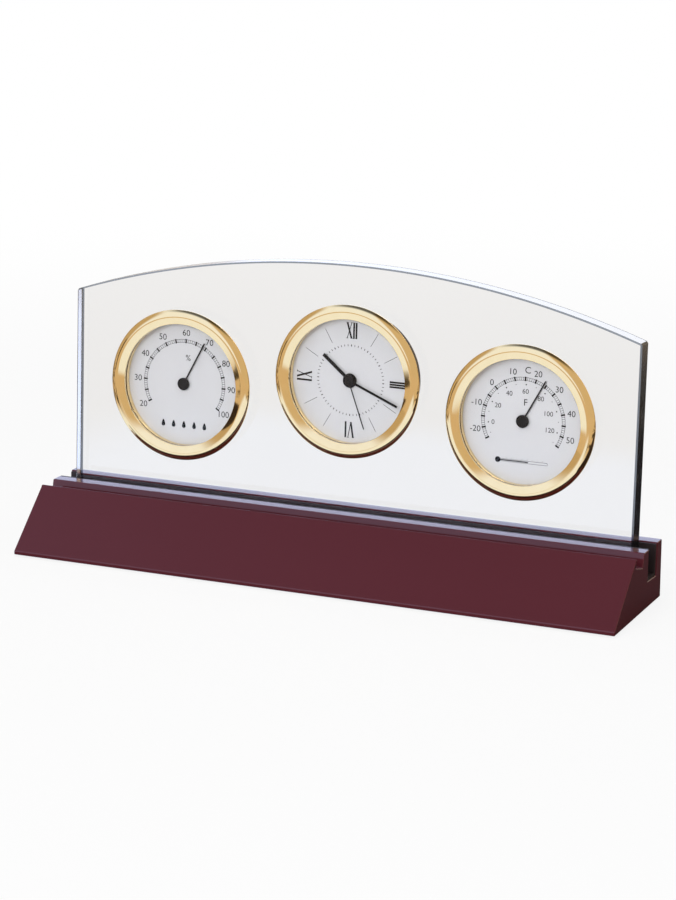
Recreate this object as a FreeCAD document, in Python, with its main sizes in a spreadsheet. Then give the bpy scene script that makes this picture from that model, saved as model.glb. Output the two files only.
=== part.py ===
"""Desk weather station: a glass plate in a lacquered base carries a clock between a
hygrometer and a thermometer, each a round insert in a hole of the plate.

Millimetres. X runs to the viewer's right, Y away from the viewer, Z up.
The origin is the middle of the base's foot print, on the table.
"""
import FreeCAD, Part
import math
import os
import re
import Sketcher

doc = FreeCAD.newDocument("desk_weather_station")

# Driving dimensions: name, value, what it measures

SIZES = [
    # base
    ("base_overhang", 8, "base past the plate at each end"),
    ("base_height", 26.4, "lacquered block, without its felt"),
    ("felt_thickness", 0.8, "felt under the block"),
    ("felt_inset", 3, "felt's edge to the block's edge"),
    ("fascia_foot", 1.8, "upright strip at the foot of the front slope"),
    ("fascia_run", 27.7, "front slope, measured along the table"),
    ("fascia_land", 0.3, "flat strip along the top of the front slope"),
    ("groove_width", 10.23, "card groove, across its floor"),
    ("groove_depth", 6.6, "card groove, along its back wall"),
    ("groove_lean", 15, "card groove's lean, degrees"),
    ("lip_width", 6.1, "lip between the card groove and the glass channel"),
    ("channel_depth", 14.4, "glass channel, along its front wall"),
    ("back_wall", 6.29, "base behind the glass channel"),
    ("edge_round", 0.45, "rounding of the block's long edges"),
    # glass plate
    ("glass_margin", 19.1, "outer bezels to the plate's ends"),
    ("glass_thickness", 9.5, "plate"),
    ("glass_lean", 2.8, "plate's lean to the back, degrees"),
    ("corner_margin", 4.9, "plate's upper corners above the weather bezels"),
    ("arch_rise", 22.9, "plate's arched top above its corners"),
    ("glass_arris", 0.7, "polished chamfer of the plate's edges"),
    ("lining_thickness", 1.25, "soft lining between plate and channel"),
    ("lining_recess", 0.1, "lining's edge below the base's top"),
    ("lining_setback", 0.5, "lining's ends to the base's ends"),
    # where the inserts sit
    ("bezel_gap", 12.9, "clock's bezel to the weather bezels, along the base"),
    ("bezel_clearance", 14.5, "weather bezels above the base's top"),
    ("clock_lift", 9.9, "clock's centre above the weather dials' centres"),
    # what all three inserts share
    ("hole_play", 0.2, "bezel's skirt to the hole in the plate"),
    ("case_wall", 1.2, "insert's case, wall and back"),
    ("case_ledge", 1.5, "ledge in the case under the dial"),
    ("case_round", 1, "rounding of the case's back edge"),
    ("bezel_overhang", 5.1, "bezel's rim outside the case"),
    ("bezel_edge", 0.7, "bezel's upright rim"),
    ("bezel_crown_radius", 4, "curve of the bezel's outer band"),
    ("ridge_inset", 3.7, "bezel's highest ring inside its rim"),
    ("ridge_height", 2.4, "bezel's highest ring above the plate"),
    ("bezel_cover", 0.35, "bezel over the case's wall and past it"),
    ("bezel_lip", 1.2, "bezel's lip over the crystal"),
    ("skirt_length", 4, "bezel's skirt around the case"),
    ("skirt_wall", 0.4, "bezel's skirt"),
    ("crystal_proud", 0.1, "crystal's front above the plate's front"),
    ("crystal_thickness", 1.2, "crystal"),
    ("crystal_play", 0.3, "crystal's edge to the bezel's skirt"),
    ("crystal_clearance", 0.3, "clock's highest hand to the crystal"),
    ("dial_thickness", 0.4, "dial"),
    ("dial_play", 0.1, "dial's edge to the case's wall"),
    ("ring_width", 0.35, "ring between crystal and dial, across"),
    ("gasket_gap", 1, "rubber ring to the bezel's skirt"),
    ("gasket_inset", 1, "rubber ring to the plate's back"),
    # clock: plates and what holds them
    ("plate_thickness", 1.2, "movement plate"),
    ("bush_radius", 2.4, "centre bush, outside"),
    ("bush_rise", 0.6, "centre bush above the dial"),
    ("bush_hole_play", 0.2, "bush to the dial's hole"),
    ("middle_thickness", 0.8, "middle plate"),
    ("back_thickness", 1, "back plate"),
    ("train_play", 2.2, "middle plate and back plate to the case's ledge"),
    ("pillar_radius", 1.6, "pillars between the plates"),
    ("pillar_inset", 4, "pillars' axes inside the plates' edge"),
    ("screw_radius", 0.7, "movement screws, shank"),
    ("screw_head_radius", 1.5, "movement screws, head"),
    ("screw_head_height", 0.8, "movement screws, head"),
    ("screw_bite", 1.4, "movement screws' depth in the front pillars"),
    ("can_clearance", 0.4, "quartz can to the case's back"),
    # clock: wheels
    ("layer_gap", 0.4, "air between wheels, and between wheels and plates"),
    ("wheel_thickness", 0.5, "every wheel and pinion"),
    ("running_play", 0.05, "shaft to bearing, on the radius"),
    ("arbor_radius", 0.3, "train arbors"),
    ("second_arbor_radius", 0.35, "seconds arbor"),
    ("minute_pipe_radius", 0.9, "minute pipe, outside"),
    ("hour_pipe_radius", 1.5, "hour pipe, outside"),
    ("stem_radius", 0.5, "setting stem"),
    ("arbor_end", 0.1, "arbor's end inside the plate's outer face"),
    ("third_clearance", 0.37, "third wheel's arbor to the seconds wheel's teeth"),
    ("second_module", 0.2, "teeth of seconds wheel and rotor wheels"),
    ("cannon_module", 0.375, "teeth of cannon pinion and minute wheel"),
    ("third_angle", -5, "third wheel's bearing from the centre, degrees"),
    ("stem_angle", 170, "setting stem's bearing from the centre, degrees"),
    ("intermediate_angle", -70, "intermediate wheel's bearing, degrees"),
    ("rotor_angle", -110, "rotor's bearing from the intermediate wheel, degrees"),
    # clock: hands, as they stand in the picture
    ("hand_thickness", 0.3, "hands"),
    ("hour_hand_rise", 0.9, "hour hand above the dial"),
    ("hand_gap", 0.3, "air between hands"),
    ("hour_tip_gap", 11.35, "hour hand's tip to the ring around the dial"),
    ("hour_hand_width", 1.6, "hour hand"),
    ("hour_boss_radius", 3.3, "hour hand's boss"),
    ("hour_hand_angle", 309.5, "hour hand, degrees clockwise from twelve"),
    ("minute_tip_gap", 2.95, "minute hand's tip to the ring around the dial"),
    ("minute_hand_width", 1.1, "minute hand"),
    ("minute_boss_radius", 3, "minute hand's boss"),
    ("minute_hand_angle", 112.4, "minute hand, degrees clockwise from twelve"),
    ("second_tip_gap", 5.55, "seconds hand's tip to the ring around the dial"),
    ("second_hand_width", 0.45, "seconds hand"),
    ("second_boss_radius", 2.8, "seconds hand's cap"),
    ("second_boss_height", 0.5, "seconds hand's cap"),
    ("second_hand_angle", 159.6, "seconds hand, degrees clockwise from twelve"),
    # clock: motor
    ("magnet_radius", 2.4, "rotor's magnet"),
    ("magnet_length", 1.6, "rotor's magnet"),
    ("stator_bore_play", 0.4, "magnet to stator"),
    ("stator_thickness", 1, "stator"),
    ("stator_rim", 0.7, "stator beside its bore"),
    ("stator_arm_gap", 1.5, "coil's winding to the stator's arms"),
    ("stator_arm_width", 3, "stator's two arms"),
    ("coil_gap", 1.4, "coil's winding to the stator's bar"),
    ("core_width", 2, "coil's core, across"),
    ("core_thickness", 0.8, "coil's core"),
    ("core_overlap", 1.5, "core's hold on each stator arm"),
    ("coil_radius", 2, "coil's winding"),
    ("coil_half_length", 8.5, "coil's winding, middle to end"),
    ("coil_window_play", 0.6, "winding to its window in the middle plate"),
    # clock: electronics and cell
    ("board_length", 12, "circuit board"),
    ("board_width", 8.6, "circuit board"),
    ("board_thickness", 0.8, "circuit board"),
    ("board_left", 16.5, "circuit board's left edge from the centre"),
    ("board_bottom", 3.4, "circuit board's lower edge above the centre"),
    ("crystal_can_radius", 1, "quartz can"),
    ("crystal_can_length", 6, "quartz can"),
    ("chip_radius", 2, "potted chip"),
    ("chip_thickness", 0.9, "potted chip"),
    ("chip_gap", 0.8, "potted chip to the quartz can"),
    ("cell_radius", 5.8, "button cell"),
    ("cell_thickness", 5.4, "button cell"),
    ("cell_step", 0.5, "button cell's step around its negative face"),
    ("cell_angle", 70, "cell's bearing from the centre, degrees"),
    ("cell_play", 0.2, "cell to the hatch"),
    ("contact_thickness", 0.3, "battery contacts, and the cell's room in its well"),
    ("contact_width", 3, "battery contacts"),
    ("well_wall", 0.8, "battery well"),
    ("well_gap", 4.5, "battery well to the seconds wheel's teeth"),
    ("well_rim", 0.53, "battery well to the plates' edge"),
    # clock: hatch and knob
    ("hatch_margin", 1.5, "battery hatch past the cell"),
    ("hatch_play", 0.1, "hatch to its opening"),
    ("lug_reach", 1.5, "hatch's lugs past its edge"),
    ("lug_width", 3, "hatch's lugs"),
    ("lug_thickness", 0.7, "hatch's lugs"),
    ("lug_neck", 0.9, "hatch's neck, its wall"),
    ("lug_play", 0.1, "lugs to the case's back"),
    ("notch_play", 0.3, "lugs to the notches that let them out"),
    ("hatch_turn", 60, "hatch's turn from locked to free, degrees"),
    ("coin_slot_length", 9, "coin slot"),
    ("coin_slot_width", 1.4, "coin slot"),
    ("coin_slot_depth", 0.6, "coin slot"),
    ("knob_radius", 4, "setting knob"),
    ("knob_length", 2.5, "setting knob"),
    ("knob_gap", 0.3, "knob to the case's back"),
    ("knob_groove", 0.35, "depth of the knob's grip"),
    # weather inserts
    ("weather_room", 6.9, "room behind a weather dial"),
    ("bridge_length", 28, "bridge, end to end"),
    ("bridge_width", 7, "bridge"),
    ("bridge_wall", 0.6, "bridge"),
    ("bridge_gap", 0.6, "bridge to the dial's back"),
    ("pointer_arbor_radius", 0.4, "pointer arbor"),
    ("collet_radius", 1.2, "arbor's collet inside the coil"),
    ("collet_gap", 0.6, "collet's ends to the bridge"),
    ("strip_thickness", 0.3, "coiled strip"),
    ("strip_width", 2.4, "coiled strip, along the arbor"),
    ("strip_pitch", 1.3, "coiled strip, turn to turn"),
    ("strip_play", 0.05, "strip's inner end to the collet"),
    ("dial_hole_radius", 1, "weather dial's centre hole"),
    ("pointer_rise", 0.9, "pointer above the dial"),
    ("pointer_thickness", 0.3, "pointer"),
    ("pointer_width", 0.65, "pointer"),
    ("pointer_boss_radius", 2.9, "pointer's boss"),
    ("pointer_boss_height", 0.7, "pointer's boss"),
    ("hygrometer_tip_gap", 6.05, "hygrometer pointer's tip to the ring around the dial"),
    ("hygrometer_angle", 27.6, "hygrometer pointer, degrees clockwise from the top"),
    ("thermometer_tip_gap", 6.85, "thermometer pointer's tip to the ring around the dial"),
    ("thermometer_angle", 28.3, "thermometer pointer, degrees clockwise from the top"),
    ("vent_radius", 1.6, "vents in the weather cases' backs"),
    ("vent_circle", 17, "vents' distance from the centre"),
    ("bridge_screw_radius", 0.6, "bridge screws, shank"),
    ("bridge_screw_head_radius", 1.4, "bridge screws, head"),
    ("bridge_screw_head_height", 0.7, "bridge screws, head"),
    ("bridge_screw_inset", 3, "bridge screws to the bridge's ends"),
]

# Counts, and the teeth's proportions
CENTRE_TEETH, THIRD_PINION_TEETH = 64, 8
THIRD_TEETH, SECOND_PINION_TEETH = 60, 8
SECOND_TEETH, INTERMEDIATE_PINION_TEETH = 60, 10
INTERMEDIATE_TEETH, ROTOR_PINION_TEETH = 50, 10
CANNON_TEETH, MINUTE_TEETH = 12, 36
MINUTE_PINION_TEETH, HOUR_TEETH = 12, 48
MOTION_LAYERS = 2
TRAIN_LAYERS = 4
KNOB_RIDGES = 24
VENT_COUNT = 8
STRIP_HALF_TURNS = 11
PILLAR_ANGLES = (130, 225, -20)
ADDENDUM_SHARE = 0.85
DEDENDUM_SHARE = 1.1
ROOT_WIDTH_SHARE = 0.54
TIP_WIDTH_SHARE = 0.22
KNOB_ROOT_SHARE = 0.8
KNOB_TIP_SHARE = 0.45
RIGHT_ANGLE = 90
HALF_TURN = 180
FULL_TURN = 360

sheet = doc.addObject("Spreadsheet::Sheet", "Sizes")
for row, (alias, value, meaning) in enumerate(SIZES, start=1):
    sheet.set(f"A{row}", meaning)
    sheet.set(f"B{row}", str(value))
    sheet.setAlias(f"B{row}", alias)
doc.recompute()

NAMES = re.compile(r"\b(" + "|".join(alias for alias, _, _ in SIZES) + r")\b")
subparts = []


# Reading and binding the sizes

def cells(text):
    """The expression with each size's name turned into its cell."""
    return NAMES.sub(r"Sizes.\1", text)


def size(text):
    """The value of an expression in the sizes."""
    return float(sheet.evalExpression(cells(text)))


def bind(obj, **expressions):
    for name, text in expressions.items():
        obj.setExpression(name.replace("__", "."), cells(text))
    return obj


def subpart(obj, label):
    obj.Label = label
    subparts.append(obj)
    return obj


# Sketches and bodies

def new_body(label):
    return doc.addObject("PartDesign::Body", label)


def new_sketch(body, role, level="0", turn="0"):
    """A sketch on one of the body's planes, moved along its normal and turned about it."""
    sketch = body.newObject("Sketcher::SketchObject", body.Name + "_sketch")
    plane = next(f for f in body.Origin.OriginFeatures if f.Role == role)
    sketch.AttachmentSupport = [(plane, "")]
    sketch.MapMode = "FlatFace"
    sketch.AttachmentOffset = FreeCAD.Placement(FreeCAD.Vector(), FreeCAD.Rotation(FreeCAD.Vector(0, 0, 1), 0))
    bind(sketch, AttachmentOffset__Base__z=level, AttachmentOffset__Rotation__Angle=turn)
    return sketch


def set_size(sketch, constraint, name, text):
    index = sketch.addConstraint(constraint)
    sketch.renameConstraint(index, name)
    bind(sketch, **{f"Constraints__{name}": text})


def arc_between(a, b, radius):
    """The short arc from a to b that bulges to the left of the way from a to b."""
    chord = b - a
    side = FreeCAD.Vector(-chord.y, chord.x, 0).normalize()
    sagitta = radius - math.sqrt(radius ** 2 - (chord.Length / 2) ** 2)
    return Part.Arc(a, a + chord / 2 + side * sagitta, b)


def outline(sketch, points):
    """A closed outline. Each point is (x, y), or (x, y, radius) where an arc leads on to the
    next point, bulging to the left; every coordinate and radius is an expression."""
    first = sketch.GeometryCount
    places = [FreeCAD.Vector(size(p[0]), size(p[1]), 0) for p in points]
    starts, ends = [], []
    for i, point in enumerate(points):
        a, b = places[i], places[(i + 1) % len(points)]
        if len(point) > 2:
            sketch.addGeometry(arc_between(a, b, size(point[2])))
            set_size(sketch, Sketcher.Constraint("Radius", first + i, size(point[2])),
                     f"radius{first + i}", point[2])
            # an arc is stored anticlockwise, so one that bulges left starts at its far point
            starts.append(2)
            ends.append(1)
        else:
            sketch.addGeometry(Part.LineSegment(a, b))
            starts.append(1)
            ends.append(2)
    for i, point in enumerate(points):
        follower = (i + 1) % len(points)
        sketch.addConstraint(Sketcher.Constraint("Coincident", first + i, ends[i],
                                                 first + follower, starts[follower]))
        set_size(sketch, Sketcher.Constraint("DistanceX", first + i, starts[i], places[i].x),
                 f"across{first + i}", point[0])
        set_size(sketch, Sketcher.Constraint("DistanceY", first + i, starts[i], places[i].y),
                 f"up{first + i}", point[1])


def circle(sketch, x, y, radius):
    index = sketch.GeometryCount
    middle = FreeCAD.Vector(size(x), size(y), 0)
    sketch.addGeometry(Part.Circle(middle, FreeCAD.Vector(0, 0, 1), size(radius)))
    set_size(sketch, Sketcher.Constraint("Radius", index, size(radius)), f"radius{index}", radius)
    set_size(sketch, Sketcher.Constraint("DistanceX", index, 3, middle.x), f"across{index}", x)
    set_size(sketch, Sketcher.Constraint("DistanceY", index, 3, middle.y), f"up{index}", y)


def pad(body, sketch, length, side="One side", reverse=False):
    feature = body.newObject("PartDesign::Pad", body.Name + "_pad")
    feature.Profile = sketch
    feature.SideType = side
    feature.Reversed = reverse
    return bind(feature, Length=length)


def pocket(body, sketch, length):
    """A pocket from the sketch towards its back, which has to take material away."""
    doc.recompute()
    before = body.Shape.Volume
    feature = body.newObject("PartDesign::Pocket", body.Name + "_pocket")
    feature.Profile = sketch
    bind(feature, Length=length)
    doc.recompute()
    if not body.Shape.Volume < before:
        raise RuntimeError(f"{body.Name}: the pocket cuts nothing")
    return feature


def revolved(label, points):
    """A body turned about its own Z axis from an outline of (radius, level) points."""
    body = new_body(label)
    sketch = new_sketch(body, "XZ_Plane")
    outline(sketch, points)
    feature = body.newObject("PartDesign::Revolution", label + "_turned")
    feature.Profile = sketch
    feature.ReferenceAxis = (sketch, ["V_Axis"])
    feature.Angle = FULL_TURN
    return body


def ring_outline(outer, inner, front, back):
    return [(inner, back), (outer, back), (outer, front), (inner, front)]


def slab(label, left, right, bottom, top, back, front):
    body = new_body(label)
    sketch = new_sketch(body, "XY_Plane", level=back)
    outline(sketch, [(left, bottom), (right, bottom), (right, top), (left, top)])
    pad(body, sketch, f"({front}) - ({back})")
    return subpart(body, label)


# Primitives and booleans

def cylinder(name, radius, back, front, x="0", y="0"):
    obj = doc.addObject("Part::Cylinder", name)
    return bind(obj, Radius=radius, Height=f"({front}) - ({back})",
                Placement__Base__x=x, Placement__Base__y=y, Placement__Base__z=back)


def box(name, left, right, bottom, top, back, front):
    obj = doc.addObject("Part::Box", name)
    return bind(obj, Length=f"({right}) - ({left})", Width=f"({top}) - ({bottom})",
                Height=f"({front}) - ({back})",
                Placement__Base__x=left, Placement__Base__y=bottom, Placement__Base__z=back)


def joined(name, pieces):
    if len(pieces) == 1:
        return pieces[0]
    obj = doc.addObject("Part::MultiFuse", name)
    obj.Shapes = pieces
    return obj


def cut(name, base, tools):
    obj = doc.addObject("Part::Cut", name)
    obj.Base = base
    obj.Tool = joined(name + "_tools", tools)
    return obj


def common(name, first, second):
    obj = doc.addObject("Part::MultiCommon", name)
    obj.Shapes = [first, second]
    return obj


def feature(label, shape):
    obj = doc.addObject("Part::Feature", label)
    obj.Shape = shape
    return obj


# Sizes that follow from others, from the clock's train outwards to the base

SECOND_TIP = f"(second_module * {SECOND_TEETH / 2 + ADDENDUM_SHARE})"
WELL_RADIUS = "(cell_radius + contact_thickness)"
CELL_DISTANCE = f"({SECOND_TIP} + well_gap + {WELL_RADIUS} + well_wall)"
TRAIN_PLATE_RADIUS = f"({CELL_DISTANCE} + {WELL_RADIUS} + well_wall + well_rim)"
CASE_RADIUS = f"({TRAIN_PLATE_RADIUS} + train_play + case_ledge + case_wall)"
SEAT_RADIUS = f"({CASE_RADIUS} - case_wall)"
RING_OPENING = f"({SEAT_RADIUS} - ring_width)"
HOLE_RADIUS = f"({CASE_RADIUS} + skirt_wall + hole_play)"
BEZEL_RADIUS = f"({CASE_RADIUS} + bezel_overhang)"
INSERT_SPACING = f"(2 * {BEZEL_RADIUS} + bezel_gap)"
WEATHER_RISE = f"({BEZEL_RADIUS} + bezel_clearance)"
CORNER_HEIGHT = f"({WEATHER_RISE} + {BEZEL_RADIUS} + corner_margin)"
GLASS_WIDTH = f"(2 * ({INSERT_SPACING} + {BEZEL_RADIUS} + glass_margin))"
BASE_LENGTH = f"({GLASS_WIDTH} + 2 * base_overhang)"

# Places on the base and on the leaning plate

TABLE_TO_TOP = "(felt_thickness + base_height)"
GROOVE_BACK = "(fascia_run + fascia_land + groove_width / cos(groove_lean))"
CHANNEL_FRONT = f"({GROOVE_BACK} + lip_width)"
CHANNEL_WIDTH = "(glass_thickness + 2 * lining_thickness)"
BASE_DEPTH = f"({CHANNEL_FRONT} + {CHANNEL_WIDTH} / cos(glass_lean) + back_wall)"
PLATE_FRONT = f"({CHANNEL_FRONT} + lining_thickness / cos(glass_lean) - {BASE_DEPTH} / 2)"


def seat_on_plate(obj, across="0", up="0"):
    """Place a piece whose X and Y lie in the plate's front face and whose Z points out of it."""
    obj.Placement = FreeCAD.Placement(FreeCAD.Vector(), FreeCAD.Rotation(FreeCAD.Vector(1, 0, 0), RIGHT_ANGLE))
    return bind(obj, Placement__Rotation__Angle=f"{RIGHT_ANGLE} - glass_lean",
                Placement__Base__x=across,
                Placement__Base__y=f"{PLATE_FRONT} + ({up}) * sin(glass_lean)",
                Placement__Base__z=f"{TABLE_TO_TOP} + ({up}) * cos(glass_lean)")


CLOCK = {"across": "0", "up": f"({WEATHER_RISE} + clock_lift)"}
HYGROMETER = {"across": f"-{INSERT_SPACING}", "up": WEATHER_RISE}
THERMOMETER = {"across": INSERT_SPACING, "up": WEATHER_RISE}


# Base: one lacquered block with a felt sheet, and a soft lining in its channel

def build_base():
    block = new_body("base_block")
    sketch = new_sketch(block, "YZ_Plane")
    floor_front = (f"{GROOVE_BACK} - groove_depth * sin(groove_lean) - groove_width * cos(groove_lean)",
                   "base_height - groove_depth * cos(groove_lean) + groove_width * sin(groove_lean)")
    floor_back = (f"{GROOVE_BACK} - groove_depth * sin(groove_lean)",
                  "base_height - groove_depth * cos(groove_lean)")
    channel_foot_front = (f"{CHANNEL_FRONT} - channel_depth * sin(glass_lean)",
                          "base_height - channel_depth * cos(glass_lean)")
    channel_foot_back = (f"{channel_foot_front[0]} + {CHANNEL_WIDTH} * cos(glass_lean)",
                         f"{channel_foot_front[1]} - {CHANNEL_WIDTH} * sin(glass_lean)")
    outline(sketch, [
        ("0", "0"),
        (BASE_DEPTH, "0"),
        (BASE_DEPTH, "base_height"),
        (f"{CHANNEL_FRONT} + {CHANNEL_WIDTH} / cos(glass_lean)", "base_height"),
        channel_foot_back,
        channel_foot_front,
        (CHANNEL_FRONT, "base_height"),
        (GROOVE_BACK, "base_height"),
        floor_back,
        floor_front,
        ("fascia_run + fascia_land", "base_height"),
        ("fascia_run", "base_height"),
        ("0", "fascia_foot"),
    ])
    length = pad(block, sketch, BASE_LENGTH, side="Symmetric")
    doc.recompute()
    rounded = block.newObject("PartDesign::Fillet", "base_block_rounding")
    rounded.Base = (length, [f"Edge{i}" for i, edge in enumerate(length.Shape.Edges, start=1)
                             if edge.Length > size(BASE_LENGTH) / 2 and rounds_over(edge)])
    bind(rounded, Radius="edge_round")
    bind(block, Placement__Base__y=f"-{BASE_DEPTH} / 2", Placement__Base__z="felt_thickness")
    subpart(block, "base_block")

    felt = new_body("base_felt")
    sketch = new_sketch(felt, "XY_Plane")
    half_length = f"({BASE_LENGTH} / 2 - felt_inset)"
    half_depth = f"({BASE_DEPTH} / 2 - felt_inset)"
    outline(sketch, [(f"-{half_length}", f"-{half_depth}"), (half_length, f"-{half_depth}"),
                     (half_length, half_depth), (f"-{half_length}", half_depth)])
    pad(felt, sketch, "felt_thickness")
    subpart(felt, "base_felt")


def rounds_over(edge):
    """Whether a long edge is one that a hand can touch: the foot, the slope's top, the back."""
    middle = edge.BoundBox.Center
    at_foot_or_back = middle.y < size("fascia_run / 2") or middle.y > size(f"{BASE_DEPTH} - edge_round")
    at_slope_top = abs(middle.y - size("fascia_run")) < size("fascia_land / 2")
    at_lip = abs(middle.y - size(GROOVE_BACK)) < size("edge_round") and middle.z > size("base_height - edge_round")
    return at_foot_or_back or at_slope_top or at_lip


# Glass plate: leaning, arched, with three holes

GLASS_FOOT = "-(channel_depth + lining_thickness * tan(glass_lean) - lining_thickness)"


def build_plate():
    glass = new_body("glass_panel")
    sketch = new_sketch(glass, "XY_Plane")
    arch_radius = f"((({GLASS_WIDTH} / 2) ^ 2 + arch_rise ^ 2) / (2 * arch_rise))"
    outline(sketch, [
        (f"{GLASS_WIDTH} / 2", GLASS_FOOT),
        (f"-{GLASS_WIDTH} / 2", GLASS_FOOT),
        (f"-{GLASS_WIDTH} / 2", CORNER_HEIGHT, arch_radius),
        (f"{GLASS_WIDTH} / 2", CORNER_HEIGHT),
    ])
    for place in (CLOCK, HYGROMETER, THERMOMETER):
        circle(sketch, place["across"], place["up"], HOLE_RADIUS)
    slab = pad(glass, sketch, "glass_thickness", reverse=True)
    doc.recompute()
    arris = glass.newObject("PartDesign::Chamfer", "glass_panel_arris")
    arris.Base = (slab, [f"Edge{i}" for i, edge in enumerate(slab.Shape.Edges, start=1)
                         if is_plate_edge(edge)])
    bind(arris, Size="glass_arris")
    seat_on_plate(subpart(glass, "glass_panel"))

    lining = new_body("glass_lining")
    sketch = new_sketch(lining, "YZ_Plane")
    top = "-lining_recess"
    outline(sketch, [
        (top, "lining_thickness"),
        (f"{GLASS_FOOT} - lining_thickness", "lining_thickness"),
        (f"{GLASS_FOOT} - lining_thickness", "-(glass_thickness + lining_thickness)"),
        (top, "-(glass_thickness + lining_thickness)"),
        (top, "-glass_thickness"),
        (GLASS_FOOT, "-glass_thickness"),
        (GLASS_FOOT, "0"),
        (top, "0"),
    ])
    pad(lining, sketch, f"{BASE_LENGTH} - 2 * lining_setback", side="Symmetric")
    seat_on_plate(subpart(lining, "glass_lining"))


def is_plate_edge(edge):
    """Whether an edge runs along the plate's sides or its arch, on the front or the back."""
    if edge.Curve.TypeId == "Part::GeomCircle":
        return edge.Curve.Radius > size(f"2 * {HOLE_RADIUS}")
    return edge.BoundBox.ZLength < size("glass_arris") and edge.BoundBox.YMax > 0


# What all three inserts share: bezel, crystal, ring, dial, case and rubber ring

CRYSTAL_BACK = "(crystal_proud - crystal_thickness)"
HANDS_ROOM = "(hour_hand_rise + 2 * (hand_thickness + hand_gap) + second_boss_height + crystal_clearance)"
DIAL_FACE = f"({CRYSTAL_BACK} - {HANDS_ROOM})"
DIAL_BACK = f"({DIAL_FACE} - dial_thickness)"


def build_insert(name, place, dial_hole, ledge, floor, back_holes):
    bezel = revolved(f"{name}_bezel", [
        (f"{BEZEL_RADIUS} - ridge_inset", "ridge_height", "bezel_crown_radius"),
        (BEZEL_RADIUS, "bezel_edge"),
        (BEZEL_RADIUS, "0"),
        (f"{CASE_RADIUS} + skirt_wall", "0"),
        (f"{CASE_RADIUS} + skirt_wall", "-skirt_length"),
        (CASE_RADIUS, "-skirt_length"),
        (CASE_RADIUS, "crystal_proud"),
        (f"{SEAT_RADIUS} - bezel_cover", "crystal_proud"),
        (f"{SEAT_RADIUS} - bezel_cover", "crystal_proud + bezel_lip"),
    ])
    crystal = revolved(f"{name}_crystal", ring_outline(f"{CASE_RADIUS} - crystal_play", "0",
                                                       "crystal_proud", CRYSTAL_BACK))
    dial_ring = revolved(f"{name}_dial_ring", ring_outline(
        SEAT_RADIUS, RING_OPENING, CRYSTAL_BACK, DIAL_FACE))
    dial = revolved(f"{name}_dial", ring_outline(
        f"{SEAT_RADIUS} - dial_play", dial_hole, DIAL_FACE, DIAL_BACK))
    case = revolved(f"{name}_case", [
        ("0", f"{floor} - case_wall"),
        (f"{CASE_RADIUS} - case_round", f"{floor} - case_wall"),
        (CASE_RADIUS, f"{floor} - case_wall + case_round"),
        (CASE_RADIUS, CRYSTAL_BACK),
        (SEAT_RADIUS, CRYSTAL_BACK),
        (SEAT_RADIUS, ledge),
        (f"{SEAT_RADIUS} - case_ledge", ledge),
        (f"{SEAT_RADIUS} - case_ledge", floor),
        ("0", floor),
    ])
    sketch = new_sketch(case, "XY_Plane", level=floor)
    for x, y, radius in back_holes:
        circle(sketch, x, y, radius)
    pocket(case, sketch, "case_wall")
    gasket = revolved(f"{name}_gasket", ring_outline(
        HOLE_RADIUS, CASE_RADIUS, "-(skirt_length + gasket_gap)", "-(glass_thickness - gasket_inset)"))
    for body in (bezel, crystal, dial_ring, dial, case, gasket):
        seat_on_plate(subpart(body, body.Name), **place)
    return case


def build_hand(label, place, level, thickness, boss, boss_height, bore, width, length, angle):
    """A baton on a round boss with a blind bore, level being the hand's back."""
    body = revolved(label, [
        (bore, level),
        (boss, level),
        (boss, f"{level} + {boss_height}"),
        ("0", f"{level} + {boss_height}"),
        ("0", f"{level} + {boss_height} / 2"),
        (bore, f"{level} + {boss_height} / 2"),
    ])
    add_baton(body, level, thickness, boss, width, length, angle)
    seat_on_plate(subpart(body, label), **place)


def build_pipe_hand(label, place, level, boss, bore, width, length, angle):
    """A baton on a flat boss that is pressed on a pipe."""
    body = revolved(label, ring_outline(boss, bore, f"{level} + hand_thickness", level))
    add_baton(body, level, "hand_thickness", boss, width, length, angle)
    seat_on_plate(subpart(body, label), **place)


def add_baton(body, level, thickness, boss, width, length, angle):
    sketch = new_sketch(body, "XY_Plane", level=level, turn=f"-({angle})")
    start = f"({boss} - {width} / 2)"
    outline(sketch, [(f"-{width} / 2", start), (f"{width} / 2", start),
                     (f"{width} / 2", length), (f"-{width} / 2", length)])
    pad(body, sketch, thickness)


# Clock: plates

PLATE_BACK = f"({DIAL_BACK} - plate_thickness)"
LAYER = "(wheel_thickness + layer_gap)"
MIDDLE_FRONT = f"({PLATE_BACK} - {MOTION_LAYERS} * {LAYER} - layer_gap)"
MIDDLE_BACK = f"({MIDDLE_FRONT} - middle_thickness)"
BACK_FRONT = f"({MIDDLE_BACK} - {TRAIN_LAYERS} * {LAYER} - layer_gap)"
BACK_BACK = f"({BACK_FRONT} - back_thickness)"
CLOCK_FLOOR = f"({BACK_BACK} - board_thickness - 2 * crystal_can_radius - can_clearance)"
THIRD_DISTANCE = f"({SECOND_TIP} + arbor_radius + third_clearance)"
STEM_DISTANCE = f"(cannon_module * {(CANNON_TEETH + MINUTE_TEETH) / 2})"
INTERMEDIATE_DISTANCE = f"(second_module * {(SECOND_TEETH + INTERMEDIATE_PINION_TEETH) / 2})"
ROTOR_DISTANCE = f"(second_module * {(INTERMEDIATE_TEETH + ROTOR_PINION_TEETH) / 2})"
THIRD = (f"{THIRD_DISTANCE} * cos(third_angle)", f"{THIRD_DISTANCE} * sin(third_angle)")
STEM = (f"{STEM_DISTANCE} * cos(stem_angle)", f"{STEM_DISTANCE} * sin(stem_angle)")
INTERMEDIATE = (f"({INTERMEDIATE_DISTANCE} * cos(intermediate_angle))",
                f"({INTERMEDIATE_DISTANCE} * sin(intermediate_angle))")
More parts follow.
